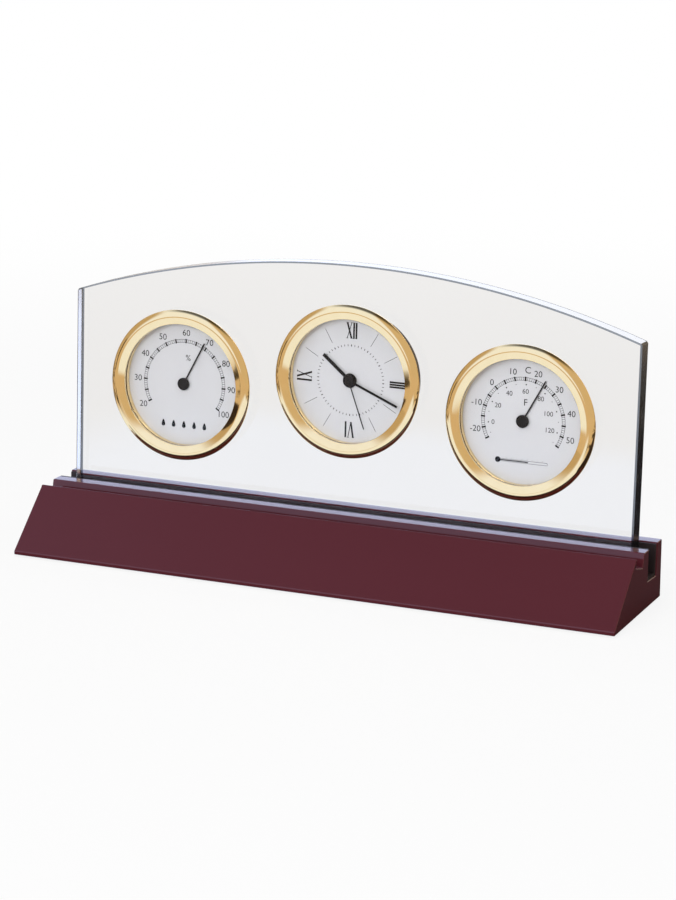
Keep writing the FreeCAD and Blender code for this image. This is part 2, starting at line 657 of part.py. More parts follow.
ROTOR = (f"({INTERMEDIATE[0]} + {ROTOR_DISTANCE} * cos(rotor_angle))",
         f"({INTERMEDIATE[1]} + {ROTOR_DISTANCE} * sin(rotor_angle))")
CENTRE_MODULE = f"(2 * {THIRD_DISTANCE} / {CENTRE_TEETH + THIRD_PINION_TEETH})"
THIRD_MODULE = f"(2 * {THIRD_DISTANCE} / {THIRD_TEETH + SECOND_PINION_TEETH})"
HOUR_MODULE = f"(2 * {STEM_DISTANCE} / {MINUTE_PINION_TEETH + HOUR_TEETH})"
PILLAR_CIRCLE = f"({TRAIN_PLATE_RADIUS} - pillar_inset)"
PILLARS = [(f"{PILLAR_CIRCLE} * cos({angle})", f"{PILLAR_CIRCLE} * sin({angle})") for angle in PILLAR_ANGLES]
CELL = (f"({CELL_DISTANCE} * cos(cell_angle))", f"({CELL_DISTANCE} * sin(cell_angle))")
CELL_BACK = f"({CLOCK_FLOOR} + cell_play)"
CELL_FRONT = f"({CELL_BACK} + cell_thickness)"
WELL_FLOOR = f"({CELL_FRONT} + contact_thickness)"


def layer_front(number):
    """The front of a wheel layer: 1 and 2 lie before the middle plate, 3 to 6 behind it."""
    if number <= MOTION_LAYERS:
        return f"({PLATE_BACK} - layer_gap - {number - 1} * {LAYER})"
    return f"({MIDDLE_BACK} - layer_gap - {number - 1 - MOTION_LAYERS} * {LAYER})"


def layer_back(number):
    return f"({layer_front(number)} - wheel_thickness)"


def bores(name, places, radius, back, front):
    return [cylinder(f"{name}_bore", radius, back, front, x, y) for x, y in places]


def build_plates():
    running = "arbor_radius + running_play"
    bush = cylinder("bush", "bush_radius", DIAL_BACK, f"{DIAL_FACE} + bush_rise")
    disc = cylinder("movement_disc", f"{SEAT_RADIUS} - dial_play", PLATE_BACK, DIAL_BACK)
    pillars = bores("front_pillar", PILLARS, "pillar_radius", MIDDLE_FRONT, PLATE_BACK)
    solid = joined("movement_solid", [disc, bush] + pillars)
    holes = [cylinder("bush_bore", "hour_pipe_radius + running_play", PLATE_BACK, f"{DIAL_FACE} + bush_rise"),
             cylinder("stem_bore", "stem_radius + running_play", PLATE_BACK, DIAL_BACK, *STEM)]
    holes += bores("front_screw", PILLARS, "screw_radius", MIDDLE_FRONT, f"{MIDDLE_FRONT} + screw_bite")
    seat_on_plate(subpart(cut("movement_plate", solid, holes), "movement_plate"), **CLOCK)

    disc = cylinder("middle_disc", TRAIN_PLATE_RADIUS, MIDDLE_BACK, MIDDLE_FRONT)
    holes = [cylinder("pipe_bore", "minute_pipe_radius + running_play", MIDDLE_BACK, MIDDLE_FRONT),
             cylinder("middle_stem_bore", "stem_radius + running_play", MIDDLE_BACK, MIDDLE_FRONT, *STEM),
             coil_window()]
    holes += bores("middle", [THIRD, INTERMEDIATE, ROTOR], running, MIDDLE_BACK, MIDDLE_FRONT)
    holes += bores("middle_screw", PILLARS, "screw_radius", MIDDLE_BACK, MIDDLE_FRONT)
    seat_on_plate(subpart(cut("middle_plate", disc, holes), "middle_plate"), **CLOCK)

    disc = cylinder("back_disc", TRAIN_PLATE_RADIUS, BACK_BACK, BACK_FRONT)
    well = cylinder("well", f"{WELL_RADIUS} + well_wall", BACK_BACK, f"{WELL_FLOOR} + well_wall", *CELL)
    pillars = bores("back_pillar", PILLARS, "pillar_radius", BACK_FRONT, MIDDLE_BACK)
    solid = joined("back_solid", [disc, well] + pillars)
    holes = [cylinder("seconds_bore", "second_arbor_radius + running_play", BACK_BACK, BACK_FRONT),
             cylinder("back_stem_bore", "stem_radius + running_play", BACK_BACK, BACK_FRONT, *STEM),
             cylinder("well_bore", WELL_RADIUS, BACK_BACK, WELL_FLOOR, *CELL)]
    holes += bores("back", [THIRD, INTERMEDIATE, ROTOR], running, BACK_BACK, BACK_FRONT)
    holes += bores("back_screw", PILLARS, "screw_radius", BACK_BACK, MIDDLE_BACK)
    seat_on_plate(subpart(cut("back_plate", solid, holes), "back_plate"), **CLOCK)

    heads = bores("screw_head", PILLARS, "screw_head_radius", f"{BACK_BACK} - screw_head_height", BACK_BACK)
    shanks = bores("screw_shank", PILLARS, "screw_radius", BACK_BACK, f"{MIDDLE_FRONT} + screw_bite")
    seat_on_plate(subpart(joined("movement_screws", heads + shanks), "movement_screws"), **CLOCK)


# Clock: wheels

def toothed(teeth, pitch_radius, tip, root, tip_share, root_share, phase):
    """A face with straight-flanked teeth, one of them centred on the phase angle."""
    step = FULL_TURN / teeth
    points = []
    for number in range(teeth):
        middle = phase + number * step
        for radius, share in ((root, -root_share), (tip, -tip_share), (tip, tip_share), (root, root_share)):
            angle = math.radians(middle + share * step / 2)
            points.append(FreeCAD.Vector(radius * math.cos(angle), radius * math.sin(angle), 0))
    return Part.Face(Part.makePolygon(points + points[:1]))


def gear(teeth, module, layer, phase):
    """A wheel or pinion in its layer, on its own axis."""
    module = size(module)
    pitch_radius = module * teeth / 2
    face = toothed(teeth, pitch_radius, pitch_radius + ADDENDUM_SHARE * module,
                   pitch_radius - DEDENDUM_SHARE * module, TIP_WIDTH_SHARE, ROOT_WIDTH_SHARE, phase)
    face.translate(FreeCAD.Vector(0, 0, size(layer_back(layer))))
    return face.extrude(FreeCAD.Vector(0, 0, size("wheel_thickness")))


def rod(radius, back, front):
    return Part.makeCylinder(size(radius), size(f"({front}) - ({back})"), FreeCAD.Vector(0, 0, size(back)))


def placed_wheel(label, shape, centre=("0", "0")):
    seat_on_plate(subpart(feature(label, shape), label), across=centre[0], up=f"{CLOCK['up']} + {centre[1]}")


def driven_phase(angle, teeth):
    """The phase of a wheel whose gap faces a tooth that points along the angle."""
    return angle + HALF_TURN + HALF_TURN / teeth


def build_wheels():
    third, stem = size("third_angle"), size("stem_angle")
    intermediate, rotor = size("intermediate_angle"), size("rotor_angle")
    pivot_front = f"{MIDDLE_FRONT} - arbor_end"
    pivot_back = f"{BACK_BACK} + arbor_end"

    hour = gear(HOUR_TEETH, HOUR_MODULE, 1, driven_phase(stem + HALF_TURN, HOUR_TEETH))
    hour = hour.fuse(rod("hour_pipe_radius", layer_back(1), f"{HOUR_HAND} + hand_thickness"))
    hour = hour.cut(rod("minute_pipe_radius + running_play", layer_back(1), f"{HOUR_HAND} + hand_thickness"))
    placed_wheel("hour_wheel", hour)

    cannon = gear(CANNON_TEETH, "cannon_module", 2, stem)
    placed_wheel("cannon_pinion", cannon.cut(rod("minute_pipe_radius", layer_back(2), layer_front(2))))

    minute = gear(MINUTE_TEETH, "cannon_module", 2, driven_phase(stem, MINUTE_TEETH))
    minute = minute.fuse(gear(MINUTE_PINION_TEETH, HOUR_MODULE, 1, stem + HALF_TURN))
    minute = minute.fuse(rod("stem_radius", KNOB_BACK, f"{DIAL_BACK} - arbor_end"))
    placed_wheel("minute_wheel", minute, STEM)

    centre = gear(CENTRE_TEETH, CENTRE_MODULE, 3, third)
    centre = centre.fuse(rod("minute_pipe_radius", layer_back(3), f"{MINUTE_HAND} + hand_thickness"))
    centre = centre.cut(rod("second_arbor_radius + running_play", layer_back(3), f"{MINUTE_HAND} + hand_thickness"))
    placed_wheel("centre_wheel", centre)

    wheel = gear(THIRD_TEETH, THIRD_MODULE, 4, driven_phase(third, THIRD_TEETH))
    wheel = wheel.fuse(gear(THIRD_PINION_TEETH, CENTRE_MODULE, 3, driven_phase(third, THIRD_PINION_TEETH)))
    placed_wheel("third_wheel", wheel.fuse(rod("arbor_radius", pivot_back, pivot_front)), THIRD)

    wheel = gear(SECOND_TEETH, "second_module", 5, intermediate)
    wheel = wheel.fuse(gear(SECOND_PINION_TEETH, THIRD_MODULE, 4, third))
    wheel = wheel.fuse(rod("second_arbor_radius", pivot_back, f"{SECOND_HAND} + second_boss_height / 2"))
    placed_wheel("second_wheel", wheel)

    wheel = gear(INTERMEDIATE_TEETH, "second_module", 6, rotor)
    wheel = wheel.fuse(gear(INTERMEDIATE_PINION_TEETH, "second_module", 5,
                            driven_phase(intermediate, INTERMEDIATE_PINION_TEETH)))
    placed_wheel("intermediate_wheel", wheel.fuse(rod("arbor_radius", pivot_back, pivot_front)), INTERMEDIATE)

    wheel = gear(ROTOR_PINION_TEETH, "second_module", 6, driven_phase(rotor, ROTOR_PINION_TEETH))
    wheel = wheel.fuse(rod("magnet_radius", f"{layer_front(3)} - magnet_length", layer_front(3)))
    placed_wheel("rotor", wheel.fuse(rod("arbor_radius", pivot_back, pivot_front)), ROTOR)


# Clock: hands

HOUR_HAND = f"({DIAL_FACE} + hour_hand_rise)"
MINUTE_HAND = f"({HOUR_HAND} + hand_thickness + hand_gap)"
SECOND_HAND = f"({MINUTE_HAND} + hand_thickness + hand_gap)"


def build_hands():
    build_pipe_hand("hour_hand", CLOCK, HOUR_HAND, "hour_boss_radius", "hour_pipe_radius",
                    "hour_hand_width", f"{RING_OPENING} - hour_tip_gap", "hour_hand_angle")
    build_pipe_hand("minute_hand", CLOCK, MINUTE_HAND, "minute_boss_radius", "minute_pipe_radius",
                    "minute_hand_width", f"{RING_OPENING} - minute_tip_gap", "minute_hand_angle")
    build_hand("second_hand", CLOCK, SECOND_HAND, "hand_thickness", "second_boss_radius",
               "second_boss_height", "second_arbor_radius", "second_hand_width",
               f"{RING_OPENING} - second_tip_gap", "second_hand_angle")


# Clock: stepping motor

STATOR_BACK = f"({MIDDLE_BACK} - stator_thickness)"
CORE_BACK = f"({STATOR_BACK} - core_thickness)"
STATOR_HALF_WIDTH = "(magnet_radius + stator_bore_play + stator_rim)"
STATOR_HALF_LENGTH = "(coil_half_length + stator_arm_gap + stator_arm_width)"
COIL_Y = f"({ROTOR[1]} - {STATOR_HALF_WIDTH} - coil_gap - coil_radius)"
COIL_LEVEL = f"({STATOR_BACK} - core_thickness / 2)"


def coil_window():
    room = "(coil_radius + coil_window_play)"
    reach = "(coil_half_length + coil_window_play)"
    return box("coil_window", f"{ROTOR[0]} - {reach}", f"{ROTOR[0]} + {reach}",
               f"{COIL_Y} - {room}", f"{COIL_Y} + {room}", MIDDLE_BACK, MIDDLE_FRONT)


def build_motor():
    left, right = f"{ROTOR[0]} - {STATOR_HALF_LENGTH}", f"{ROTOR[0]} + {STATOR_HALF_LENGTH}"
    arm_foot = f"{COIL_Y} - core_width / 2"
    bar = box("stator_bar", left, right, f"{ROTOR[1]} - {STATOR_HALF_WIDTH}",
              f"{ROTOR[1]} + {STATOR_HALF_WIDTH}", STATOR_BACK, MIDDLE_BACK)
    arms = [box("stator_arm", left, f"{left} + stator_arm_width", arm_foot, ROTOR[1], STATOR_BACK, MIDDLE_BACK),
            box("stator_arm", f"{right} - stator_arm_width", right, arm_foot, ROTOR[1], STATOR_BACK, MIDDLE_BACK)]
    bore = cylinder("stator_bore", "magnet_radius + stator_bore_play", STATOR_BACK, MIDDLE_BACK, *ROTOR)
    stator = cut("stator", joined("stator_solid", [bar] + arms), [bore])
    seat_on_plate(subpart(stator, "stator"), **CLOCK)

    grip = f"{STATOR_HALF_LENGTH} - stator_arm_width + core_overlap"
    core_sides = (f"{COIL_Y} - core_width / 2", f"{COIL_Y} + core_width / 2", CORE_BACK, STATOR_BACK)
    core = slab("coil_core", f"{ROTOR[0]} - ({grip})", f"{ROTOR[0]} + ({grip})", *core_sides)
    seat_on_plate(core, **CLOCK)

    winding = doc.addObject("Part::Cylinder", "winding_round")
    winding.Placement = FreeCAD.Placement(FreeCAD.Vector(), FreeCAD.Rotation(FreeCAD.Vector(0, 1, 0), RIGHT_ANGLE))
    bind(winding, Radius="coil_radius", Height="2 * coil_half_length",
         Placement__Base__x=f"{ROTOR[0]} - coil_half_length", Placement__Base__y=COIL_Y,
         Placement__Base__z=COIL_LEVEL)
    hole = box("winding_hole", f"{ROTOR[0]} - coil_half_length", f"{ROTOR[0]} + coil_half_length", *core_sides)
    seat_on_plate(subpart(cut("coil_winding", winding, [hole]), "coil_winding"), **CLOCK)


# Clock: circuit board, cell and contacts

BOARD_BACK = f"({BACK_BACK} - board_thickness)"


def build_electronics():
    board = slab("circuit_board", "-board_left", "-board_left + board_length",
                 "board_bottom", "board_bottom + board_width", BOARD_BACK, BACK_BACK)
    seat_on_plate(board, **CLOCK)

    can_y = "(board_bottom + board_width - 2 * crystal_can_radius)"
    can = doc.addObject("Part::Cylinder", "can_round")
    can.Placement = FreeCAD.Placement(FreeCAD.Vector(), FreeCAD.Rotation(FreeCAD.Vector(0, 1, 0), RIGHT_ANGLE))
    bind(can, Radius="crystal_can_radius", Height="crystal_can_length",
         Placement__Base__x="-board_left + board_length / 2 - crystal_can_length / 2",
         Placement__Base__y=can_y, Placement__Base__z=f"{BOARD_BACK} - crystal_can_radius")
    seat_on_plate(subpart(joined("quartz_can", [can, can_pad(can_y)]), "quartz_can"), **CLOCK)

    chip = revolved("clock_chip", [
        ("0", BOARD_BACK), ("0", f"{BOARD_BACK} - chip_thickness"),
        ("chip_radius / 2", f"{BOARD_BACK} - chip_thickness"),
        ("chip_radius", f"{BOARD_BACK} - chip_thickness / 2"), ("chip_radius", BOARD_BACK)])
    seat_on_plate(subpart(chip, "clock_chip"), across="-board_left + board_length / 2",
                  up=f"{CLOCK['up']} + {can_y} - crystal_can_radius - chip_gap - chip_radius")

    cell = revolved("battery", [
        ("0", CELL_BACK), ("cell_radius", CELL_BACK), ("cell_radius", f"{CELL_FRONT} - cell_step"),
        ("cell_radius - cell_step", f"{CELL_FRONT} - cell_step"), ("cell_radius - cell_step", CELL_FRONT),
        ("0", CELL_FRONT)])
    seat_on_plate(subpart(cell, "battery"), across=CELL[0], up=f"{CLOCK['up']} + {CELL[1]}")

    leaf = slab("battery_contact_negative", f"{CELL[0]} - cell_radius / 2", f"{CELL[0]} + cell_radius / 2",
                f"{CELL[1]} - contact_width / 2", f"{CELL[1]} + contact_width / 2", CELL_FRONT, WELL_FLOOR)
    seat_on_plate(leaf, **CLOCK)

    tube = cut("clip_tube", cylinder("clip_outside", WELL_RADIUS, BACK_BACK, BACK_FRONT, *CELL),
               [cylinder("clip_inside", "cell_radius", BACK_BACK, BACK_FRONT, *CELL)])
    side = box("clip_side", CELL[0], f"{CELL[0]} + {WELL_RADIUS}", f"{CELL[1]} - contact_width / 2",
               f"{CELL[1]} + contact_width / 2", BACK_BACK, BACK_FRONT)
    clip = common("battery_contact_positive", tube, side)
    seat_on_plate(subpart(clip, "battery_contact_positive"), **CLOCK)


def can_pad(can_y):
    """The glue under the quartz can, which seats it on the board."""
    return box("can_glue", "-board_left + board_length / 2 - crystal_can_length / 2",
               "-board_left + board_length / 2 + crystal_can_length / 2",
               f"{can_y} - crystal_can_radius / 2", f"{can_y} + crystal_can_radius / 2",
               f"{BOARD_BACK} - crystal_can_radius", BOARD_BACK)


# Clock: battery hatch and setting knob

HATCH_RADIUS = "(cell_radius + hatch_margin)"
CASE_BACK = f"({CLOCK_FLOOR} - case_wall)"
LUG_BACK = f"({CLOCK_FLOOR} + lug_play)"
LUG_FRONT = f"({LUG_BACK} + lug_thickness)"
KNOB_FRONT = f"({CASE_BACK} - knob_gap)"
KNOB_BACK = f"({KNOB_FRONT} - knob_length)"


def build_hatch():
    reach = f"{HATCH_RADIUS} + lug_reach"
    neck = f"({HATCH_RADIUS} - hatch_play)"
    disc = cylinder("hatch_disc", HATCH_RADIUS, CASE_BACK, CLOCK_FLOOR)
    stub = cylinder("hatch_neck", neck, CLOCK_FLOOR, LUG_FRONT)
    lugs = box("hatch_lugs", f"-({reach})", reach, "-lug_width / 2", "lug_width / 2", LUG_BACK, LUG_FRONT)
    hollow = cylinder("hatch_hollow", f"{neck} - lug_neck", CLOCK_FLOOR, LUG_FRONT)
    slot = box("coin_slot", "-coin_slot_length / 2", "coin_slot_length / 2", "-coin_slot_width / 2",
               "coin_slot_width / 2", CASE_BACK, f"{CASE_BACK} + coin_slot_depth")
    hatch = cut("battery_hatch", joined("hatch_solid", [disc, stub, lugs]), [hollow, slot])
    seat_on_plate(subpart(hatch, "battery_hatch"), across=CELL[0], up=f"{CLOCK['up']} + {CELL[1]}")


def build_knob():
    radius = size("knob_radius")
    face = toothed(KNOB_RIDGES, radius, radius, radius - size("knob_groove"), KNOB_TIP_SHARE, KNOB_ROOT_SHARE, 0)
    face.translate(FreeCAD.Vector(0, 0, size(KNOB_BACK)))
    knob = face.extrude(FreeCAD.Vector(0, 0, size("knob_length")))
    placed_wheel("setting_knob", knob.cut(rod("stem_radius", KNOB_BACK, KNOB_FRONT)), STEM)


def cut_hatch_notches(case):
    """Two notches in the case's back let the hatch's lugs out once it is turned."""
    reach, half = f"({HATCH_RADIUS} + lug_reach + notch_play)", "(lug_width / 2 + notch_play)"
    sketch = new_sketch(case, "XY_Plane", level=CLOCK_FLOOR, turn="-hatch_turn")
    bind(sketch, AttachmentOffset__Base__x=CELL[0], AttachmentOffset__Base__y=CELL[1])
    outline(sketch, [(f"-{reach}", f"-{half}"), (reach, f"-{half}"), (reach, half), (f"-{reach}", half)])
    pocket(case, sketch, "case_wall")


# Weather inserts: bridge, arbor, coiled strip, pointer

WEATHER_FLOOR = f"({DIAL_BACK} - weather_room)"
BRIDGE_FRONT = f"({WEATHER_FLOOR} + weather_room - bridge_gap)"
BRIDGE_HALF = "bridge_length / 2"
SCREW_X = "(bridge_length / 2 - bridge_screw_inset)"
POINTER = f"({DIAL_FACE} + pointer_rise)"


def strip_shape():
    """A flat spiral of half turns whose centres alternate, ending in a tab on the bridge's leg."""
    pitch, thickness = size("strip_pitch"), size("strip_thickness")
    start = size("collet_radius + strip_play")
    inner, outer = [], []
    for side, edges in ((0, inner), (thickness, outer)):
        for turn in range(STRIP_HALF_TURNS):
            radius = start + side + turn * pitch / 2 + pitch / 4
            shift = pitch / 4 if turn % 2 else -pitch / 4
            sign = -1 if turn % 2 else 1
            points = [FreeCAD.Vector(shift + sign * radius * math.cos(a), sign * radius * math.sin(a), 0)
                      for a in (0, math.pi / 2, math.pi)]
            edges.append(Part.Arc(*points).toShape())
    caps = [Part.makeLine(inner[0].Vertexes[0].Point, outer[0].Vertexes[0].Point),
            Part.makeLine(inner[-1].Vertexes[-1].Point, outer[-1].Vertexes[-1].Point)]
    face = Part.Face(Part.Wire(Part.__sortEdges__(inner + outer + caps)))
    width = size("strip_width")
    middle = size(f"{WEATHER_FLOOR} + weather_room / 2")
    face.translate(FreeCAD.Vector(0, 0, middle - width / 2))
    strip = face.extrude(FreeCAD.Vector(0, 0, width))
    end = max(abs(vertex.X) for vertex in inner[-1].Vertexes)
    leg = size(f"{BRIDGE_HALF} - bridge_wall")
    tab = Part.makeBox(leg - end, thickness, width, FreeCAD.Vector(-leg, -thickness, middle - width / 2))
    return strip.fuse(tab)


def build_weather(name, place, length, angle):
    vents = [(f"vent_circle * cos({n * FULL_TURN / VENT_COUNT})", f"vent_circle * sin({n * FULL_TURN / VENT_COUNT})",
              "vent_radius") for n in range(VENT_COUNT)]
    screw_holes = [(SCREW_X, "0", "bridge_screw_radius"), (f"-{SCREW_X}", "0", "bridge_screw_radius")]
    build_insert(name, place, "dial_hole_radius", DIAL_BACK, WEATHER_FLOOR, vents + screw_holes)

    outside = box(f"{name}_bridge_outside", f"-{BRIDGE_HALF}", BRIDGE_HALF, "-bridge_width / 2",
                  "bridge_width / 2", WEATHER_FLOOR, BRIDGE_FRONT)
    inside = box(f"{name}_bridge_inside", f"-{BRIDGE_HALF} + bridge_wall", f"{BRIDGE_HALF} - bridge_wall",
                 "-bridge_width / 2", "bridge_width / 2", f"{WEATHER_FLOOR} + bridge_wall",
                 f"{BRIDGE_FRONT} - bridge_wall")
    bearing = cylinder(f"{name}_bearing", "pointer_arbor_radius + running_play", WEATHER_FLOOR, BRIDGE_FRONT)
    holes = bores(f"{name}_bridge_screw", [(SCREW_X, "0"), (f"-{SCREW_X}", "0")], "bridge_screw_radius",
                  WEATHER_FLOOR, f"{WEATHER_FLOOR} + bridge_wall")
    bridge = cut(f"{name}_bridge", outside, [inside, bearing] + holes)
    seat_on_plate(subpart(bridge, f"{name}_bridge"), **place)

    back = f"{WEATHER_FLOOR} - case_wall"
    spots = [(SCREW_X, "0"), (f"-{SCREW_X}", "0")]
    heads = bores(f"{name}_head", spots, "bridge_screw_head_radius", f"{back} - bridge_screw_head_height", back)
    shanks = bores(f"{name}_shank", spots, "bridge_screw_radius", back, f"{WEATHER_FLOOR} + bridge_wall")
    seat_on_plate(subpart(joined(f"{name}_screws", heads + shanks), f"{name}_screws"), **place)

    arbor_back = f"{WEATHER_FLOOR} + arbor_end"
    collet_back = f"{WEATHER_FLOOR} + bridge_wall + collet_gap"
    collet_front = f"{BRIDGE_FRONT} - bridge_wall - collet_gap"
    arbor_front = f"{POINTER} + pointer_boss_height / 2"
    arbor = revolved(f"{name}_arbor", [
        ("0", arbor_back), ("pointer_arbor_radius", arbor_back), ("pointer_arbor_radius", collet_back),
        ("collet_radius", collet_back), ("collet_radius", collet_front), ("pointer_arbor_radius", collet_front),
        ("pointer_arbor_radius", arbor_front), ("0", arbor_front)])
    seat_on_plate(subpart(arbor, f"{name}_arbor"), **place)
    seat_on_plate(subpart(feature(f"{name}_coil", strip_shape()), f"{name}_coil"), **place)
    build_hand(f"{name}_pointer", place, POINTER, "pointer_thickness", "pointer_boss_radius",
               "pointer_boss_height", "pointer_arbor_radius", "pointer_width", length, angle)


# The whole station

build_base()
build_plate()
clock_case = build_insert("clock", CLOCK, "bush_radius + bush_hole_play", PLATE_BACK, CLOCK_FLOOR,
                          [(CELL[0], CELL[1], f"{HATCH_RADIUS} + hatch_play"),
                           (STEM[0], STEM[1], "stem_radius + hatch_play")])
cut_hatch_notches(clock_case)
build_plates()
build_wheels()
build_hands()
build_motor()
build_electronics()
build_hatch()
build_knob()
build_weather("hygrometer", HYGROMETER, f"{RING_OPENING} - hygrometer_tip_gap", "hygrometer_angle")
build_weather("thermometer", THERMOMETER, f"{RING_OPENING} - thermometer_tip_gap", "thermometer_angle")
doc.recompute()

# Check and export

for obj in doc.Objects:
    if "Invalid" in obj.State or "Error" in obj.State:
        raise RuntimeError(f"{obj.Name} failed: {obj.State}")
for obj in subparts:
    if obj.Shape.isNull() or not obj.Shape.isValid() or not obj.Shape.Solids:
        raise RuntimeError(f"{obj.Label} has no valid solid")

os.makedirs("parts", exist_ok=True)
for obj in subparts:
    obj.Shape.exportStep(f"parts/{obj.Label}.step")
    print(f"{obj.Label}: {len(obj.Shape.Solids)} solid, {obj.Shape.Volume:.1f} mm3")
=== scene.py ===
import math
import bpy
from mathutils import Matrix, Vector


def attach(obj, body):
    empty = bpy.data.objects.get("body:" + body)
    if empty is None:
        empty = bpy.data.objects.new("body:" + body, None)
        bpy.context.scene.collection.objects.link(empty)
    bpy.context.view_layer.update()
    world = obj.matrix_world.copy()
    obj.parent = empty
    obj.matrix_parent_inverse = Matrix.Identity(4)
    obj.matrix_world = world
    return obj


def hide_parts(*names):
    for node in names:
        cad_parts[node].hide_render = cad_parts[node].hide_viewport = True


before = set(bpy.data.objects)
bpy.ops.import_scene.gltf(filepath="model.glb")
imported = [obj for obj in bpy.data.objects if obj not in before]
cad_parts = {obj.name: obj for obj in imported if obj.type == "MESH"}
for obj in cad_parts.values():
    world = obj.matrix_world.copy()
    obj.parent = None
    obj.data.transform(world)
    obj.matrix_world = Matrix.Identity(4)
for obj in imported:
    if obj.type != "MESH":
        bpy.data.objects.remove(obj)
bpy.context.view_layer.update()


# Lacquered base. One block of fine wood fibre, planed to a wedge, grooved for cards and for the
# glass, then filled and sprayed with burgundy lacquer and polished. The lacquer rounds its edges.

MM = 0.001


class Value:
    """A value in a material's nodes. Sums and products of values add Math nodes."""

    def __init__(self, tree, socket=None):
        self.tree, self.socket = tree, socket

    def node(self, kind, settings=None, sockets=None, output=0):
        made = self.tree.nodes.new(kind)
        for name, value in (settings or {}).items():
            setattr(made, name, value)
        for key, value in (sockets or {}).items():
            if isinstance(value, Value):
                self.tree.links.new(value.socket, made.inputs[key])
            else:
                made.inputs[key].default_value = value
        return Value(self.tree, made.outputs[output])

    def maths(self, operation, *values):
        return self.node("ShaderNodeMath", {"operation": operation}, dict(enumerate(values)))

    def __add__(self, other):
        return self.maths("ADD", self, other)

    def __sub__(self, other):
        return self.maths("SUBTRACT", self, other)

    def __rsub__(self, other):
        return self.maths("SUBTRACT", other, self)

    def __mul__(self, other):
        return self.maths("MULTIPLY", self, other)

    __radd__, __rmul__ = __add__, __mul__

    def blend(self, low, high):
        """A colour between two, by this value."""
        return self.node("ShaderNodeMix", {"data_type": "RGBA"}, {0: self, 6: low, 7: high}, 2)

    def feed(self, shader, name):
        self.tree.links.new(self.socket, shader.inputs[name])


def colour(red, green, blue):
    """A colour as it looks on a screen, 0 to 255, as the shader wants it."""
    return tuple((v / 255 / 12.92 if v < 11 else ((v / 255 + 0.055) / 1.055) ** 2.4)
                 for v in (red, green, blue)) + (1.0,)


def finish_of(name, dark, light, grain, roughness, change, relief=0.0, stretch=(1, 1, 1), **constants):
    """A material whose colour and gloss drift between two ends over a grain, in metres, with a
    relief as deep as stated. The constants go straight to the shader's sockets."""
    made = bpy.data.materials.new(name)
    made.use_nodes = True
    shader = made.node_tree.nodes["Principled BSDF"]
    for key, value in constants.items():
        shader.inputs[key.replace("_", " ")].default_value = value
    start = Value(made.node_tree)
    place = start.node("ShaderNodeTexCoord", output=3)
    place = start.node("ShaderNodeMapping", None, {0: place, 3: stretch})
    drift = start.node("ShaderNodeTexNoise", None, {"Vector": place, "Scale": 1 / grain, "Detail": 4.0})
    cloud = start.node("ShaderNodeTexNoise", None, {"Vector": place, "Scale": 0.11 / grain, "Detail": 2.0})
    (0.6 * drift + 0.4 * cloud).blend(dark, light).feed(shader, "Base Color")
    (roughness - change / 2 + change * cloud).feed(shader, "Roughness")
    if relief:
        start.node("ShaderNodeBump", None, {"Height": drift, "Distance": relief}).feed(shader, "Normal")
    return made


def pick(obj):
    """Select one object alone."""
    bpy.ops.object.select_all(action="DESELECT")
    obj.select_set(True)
    bpy.context.view_layer.objects.active = obj


def modify(obj, kind, **settings):
    """Give a piece a modifier and apply it."""
    pick(obj)
    modifier = obj.modifiers.new(kind, kind)
    for name, value in settings.items():
        setattr(modifier, name, value)
    bpy.ops.object.modifier_apply(modifier=modifier.name)


def block(width, depth, height, middle, lean=0.0):
    """A block in millimetres, turned about X."""
    bpy.ops.object.select_all(action="DESELECT")
    bpy.ops.mesh.primitive_cube_add(size=1)
    obj = bpy.context.object
    obj.scale, obj.rotation_euler, obj.location = (width, depth, height), (lean, 0, 0), middle
    bpy.ops.object.transform_apply(location=True, rotation=True, scale=True)
    return obj


def carve(obj, tool, operation="DIFFERENCE"):
    """Cut a tool out of a piece, or join it, and throw the tool away."""
    modify(obj, "BOOLEAN", object=tool, operation=operation, solver="EXACT")
    bpy.data.objects.remove(tool)


def put(obj, name, body, finishes, nodes=(), place=Matrix(), smooth=30):
    """Move a finished piece from millimetres to its place, and tie it to its CAD body."""
    pick(obj)
    if smooth:
        bpy.ops.object.shade_smooth_by_angle(angle=math.radians(smooth))
        modify(obj, "WEIGHTED_NORMAL", keep_sharp=True)
    obj.data.transform(place @ Matrix.Scale(MM, 4))
    obj.name = obj.data.name = name
    obj.data.materials.clear()
    for finish in finishes:
        obj.data.materials.append(finish)
    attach(obj, body)
    if nodes:
        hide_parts(*nodes)


LENGTH, DEPTH, TOP, FELT = 290, 63, 27.2, 0.8
FRONT = -DEPTH / 2
SLOPE_RUN, SLOPE_FOOT = 27.7, 1.8
LEAN, GROOVE_LEAN = math.radians(2.8), math.radians(15)
GROOVE_WIDTH, GROOVE_DEEP, LAND, LIP = 10.23, 6.6, 0.3, 6.1
CHANNEL_WIDTH, CHANNEL_DEEP = 12.0, 14.4
GROOVE_BACK = FRONT + SLOPE_RUN + LAND + GROOVE_WIDTH / math.cos(GROOVE_LEAN)
CHANNEL_FRONT = GROOVE_BACK + LIP
CUTTER, OVERRUN, MARGIN = 40, 10, 1
EDGE_ROUND, LAND_ROUND_SHARE = 0.45, 0.3

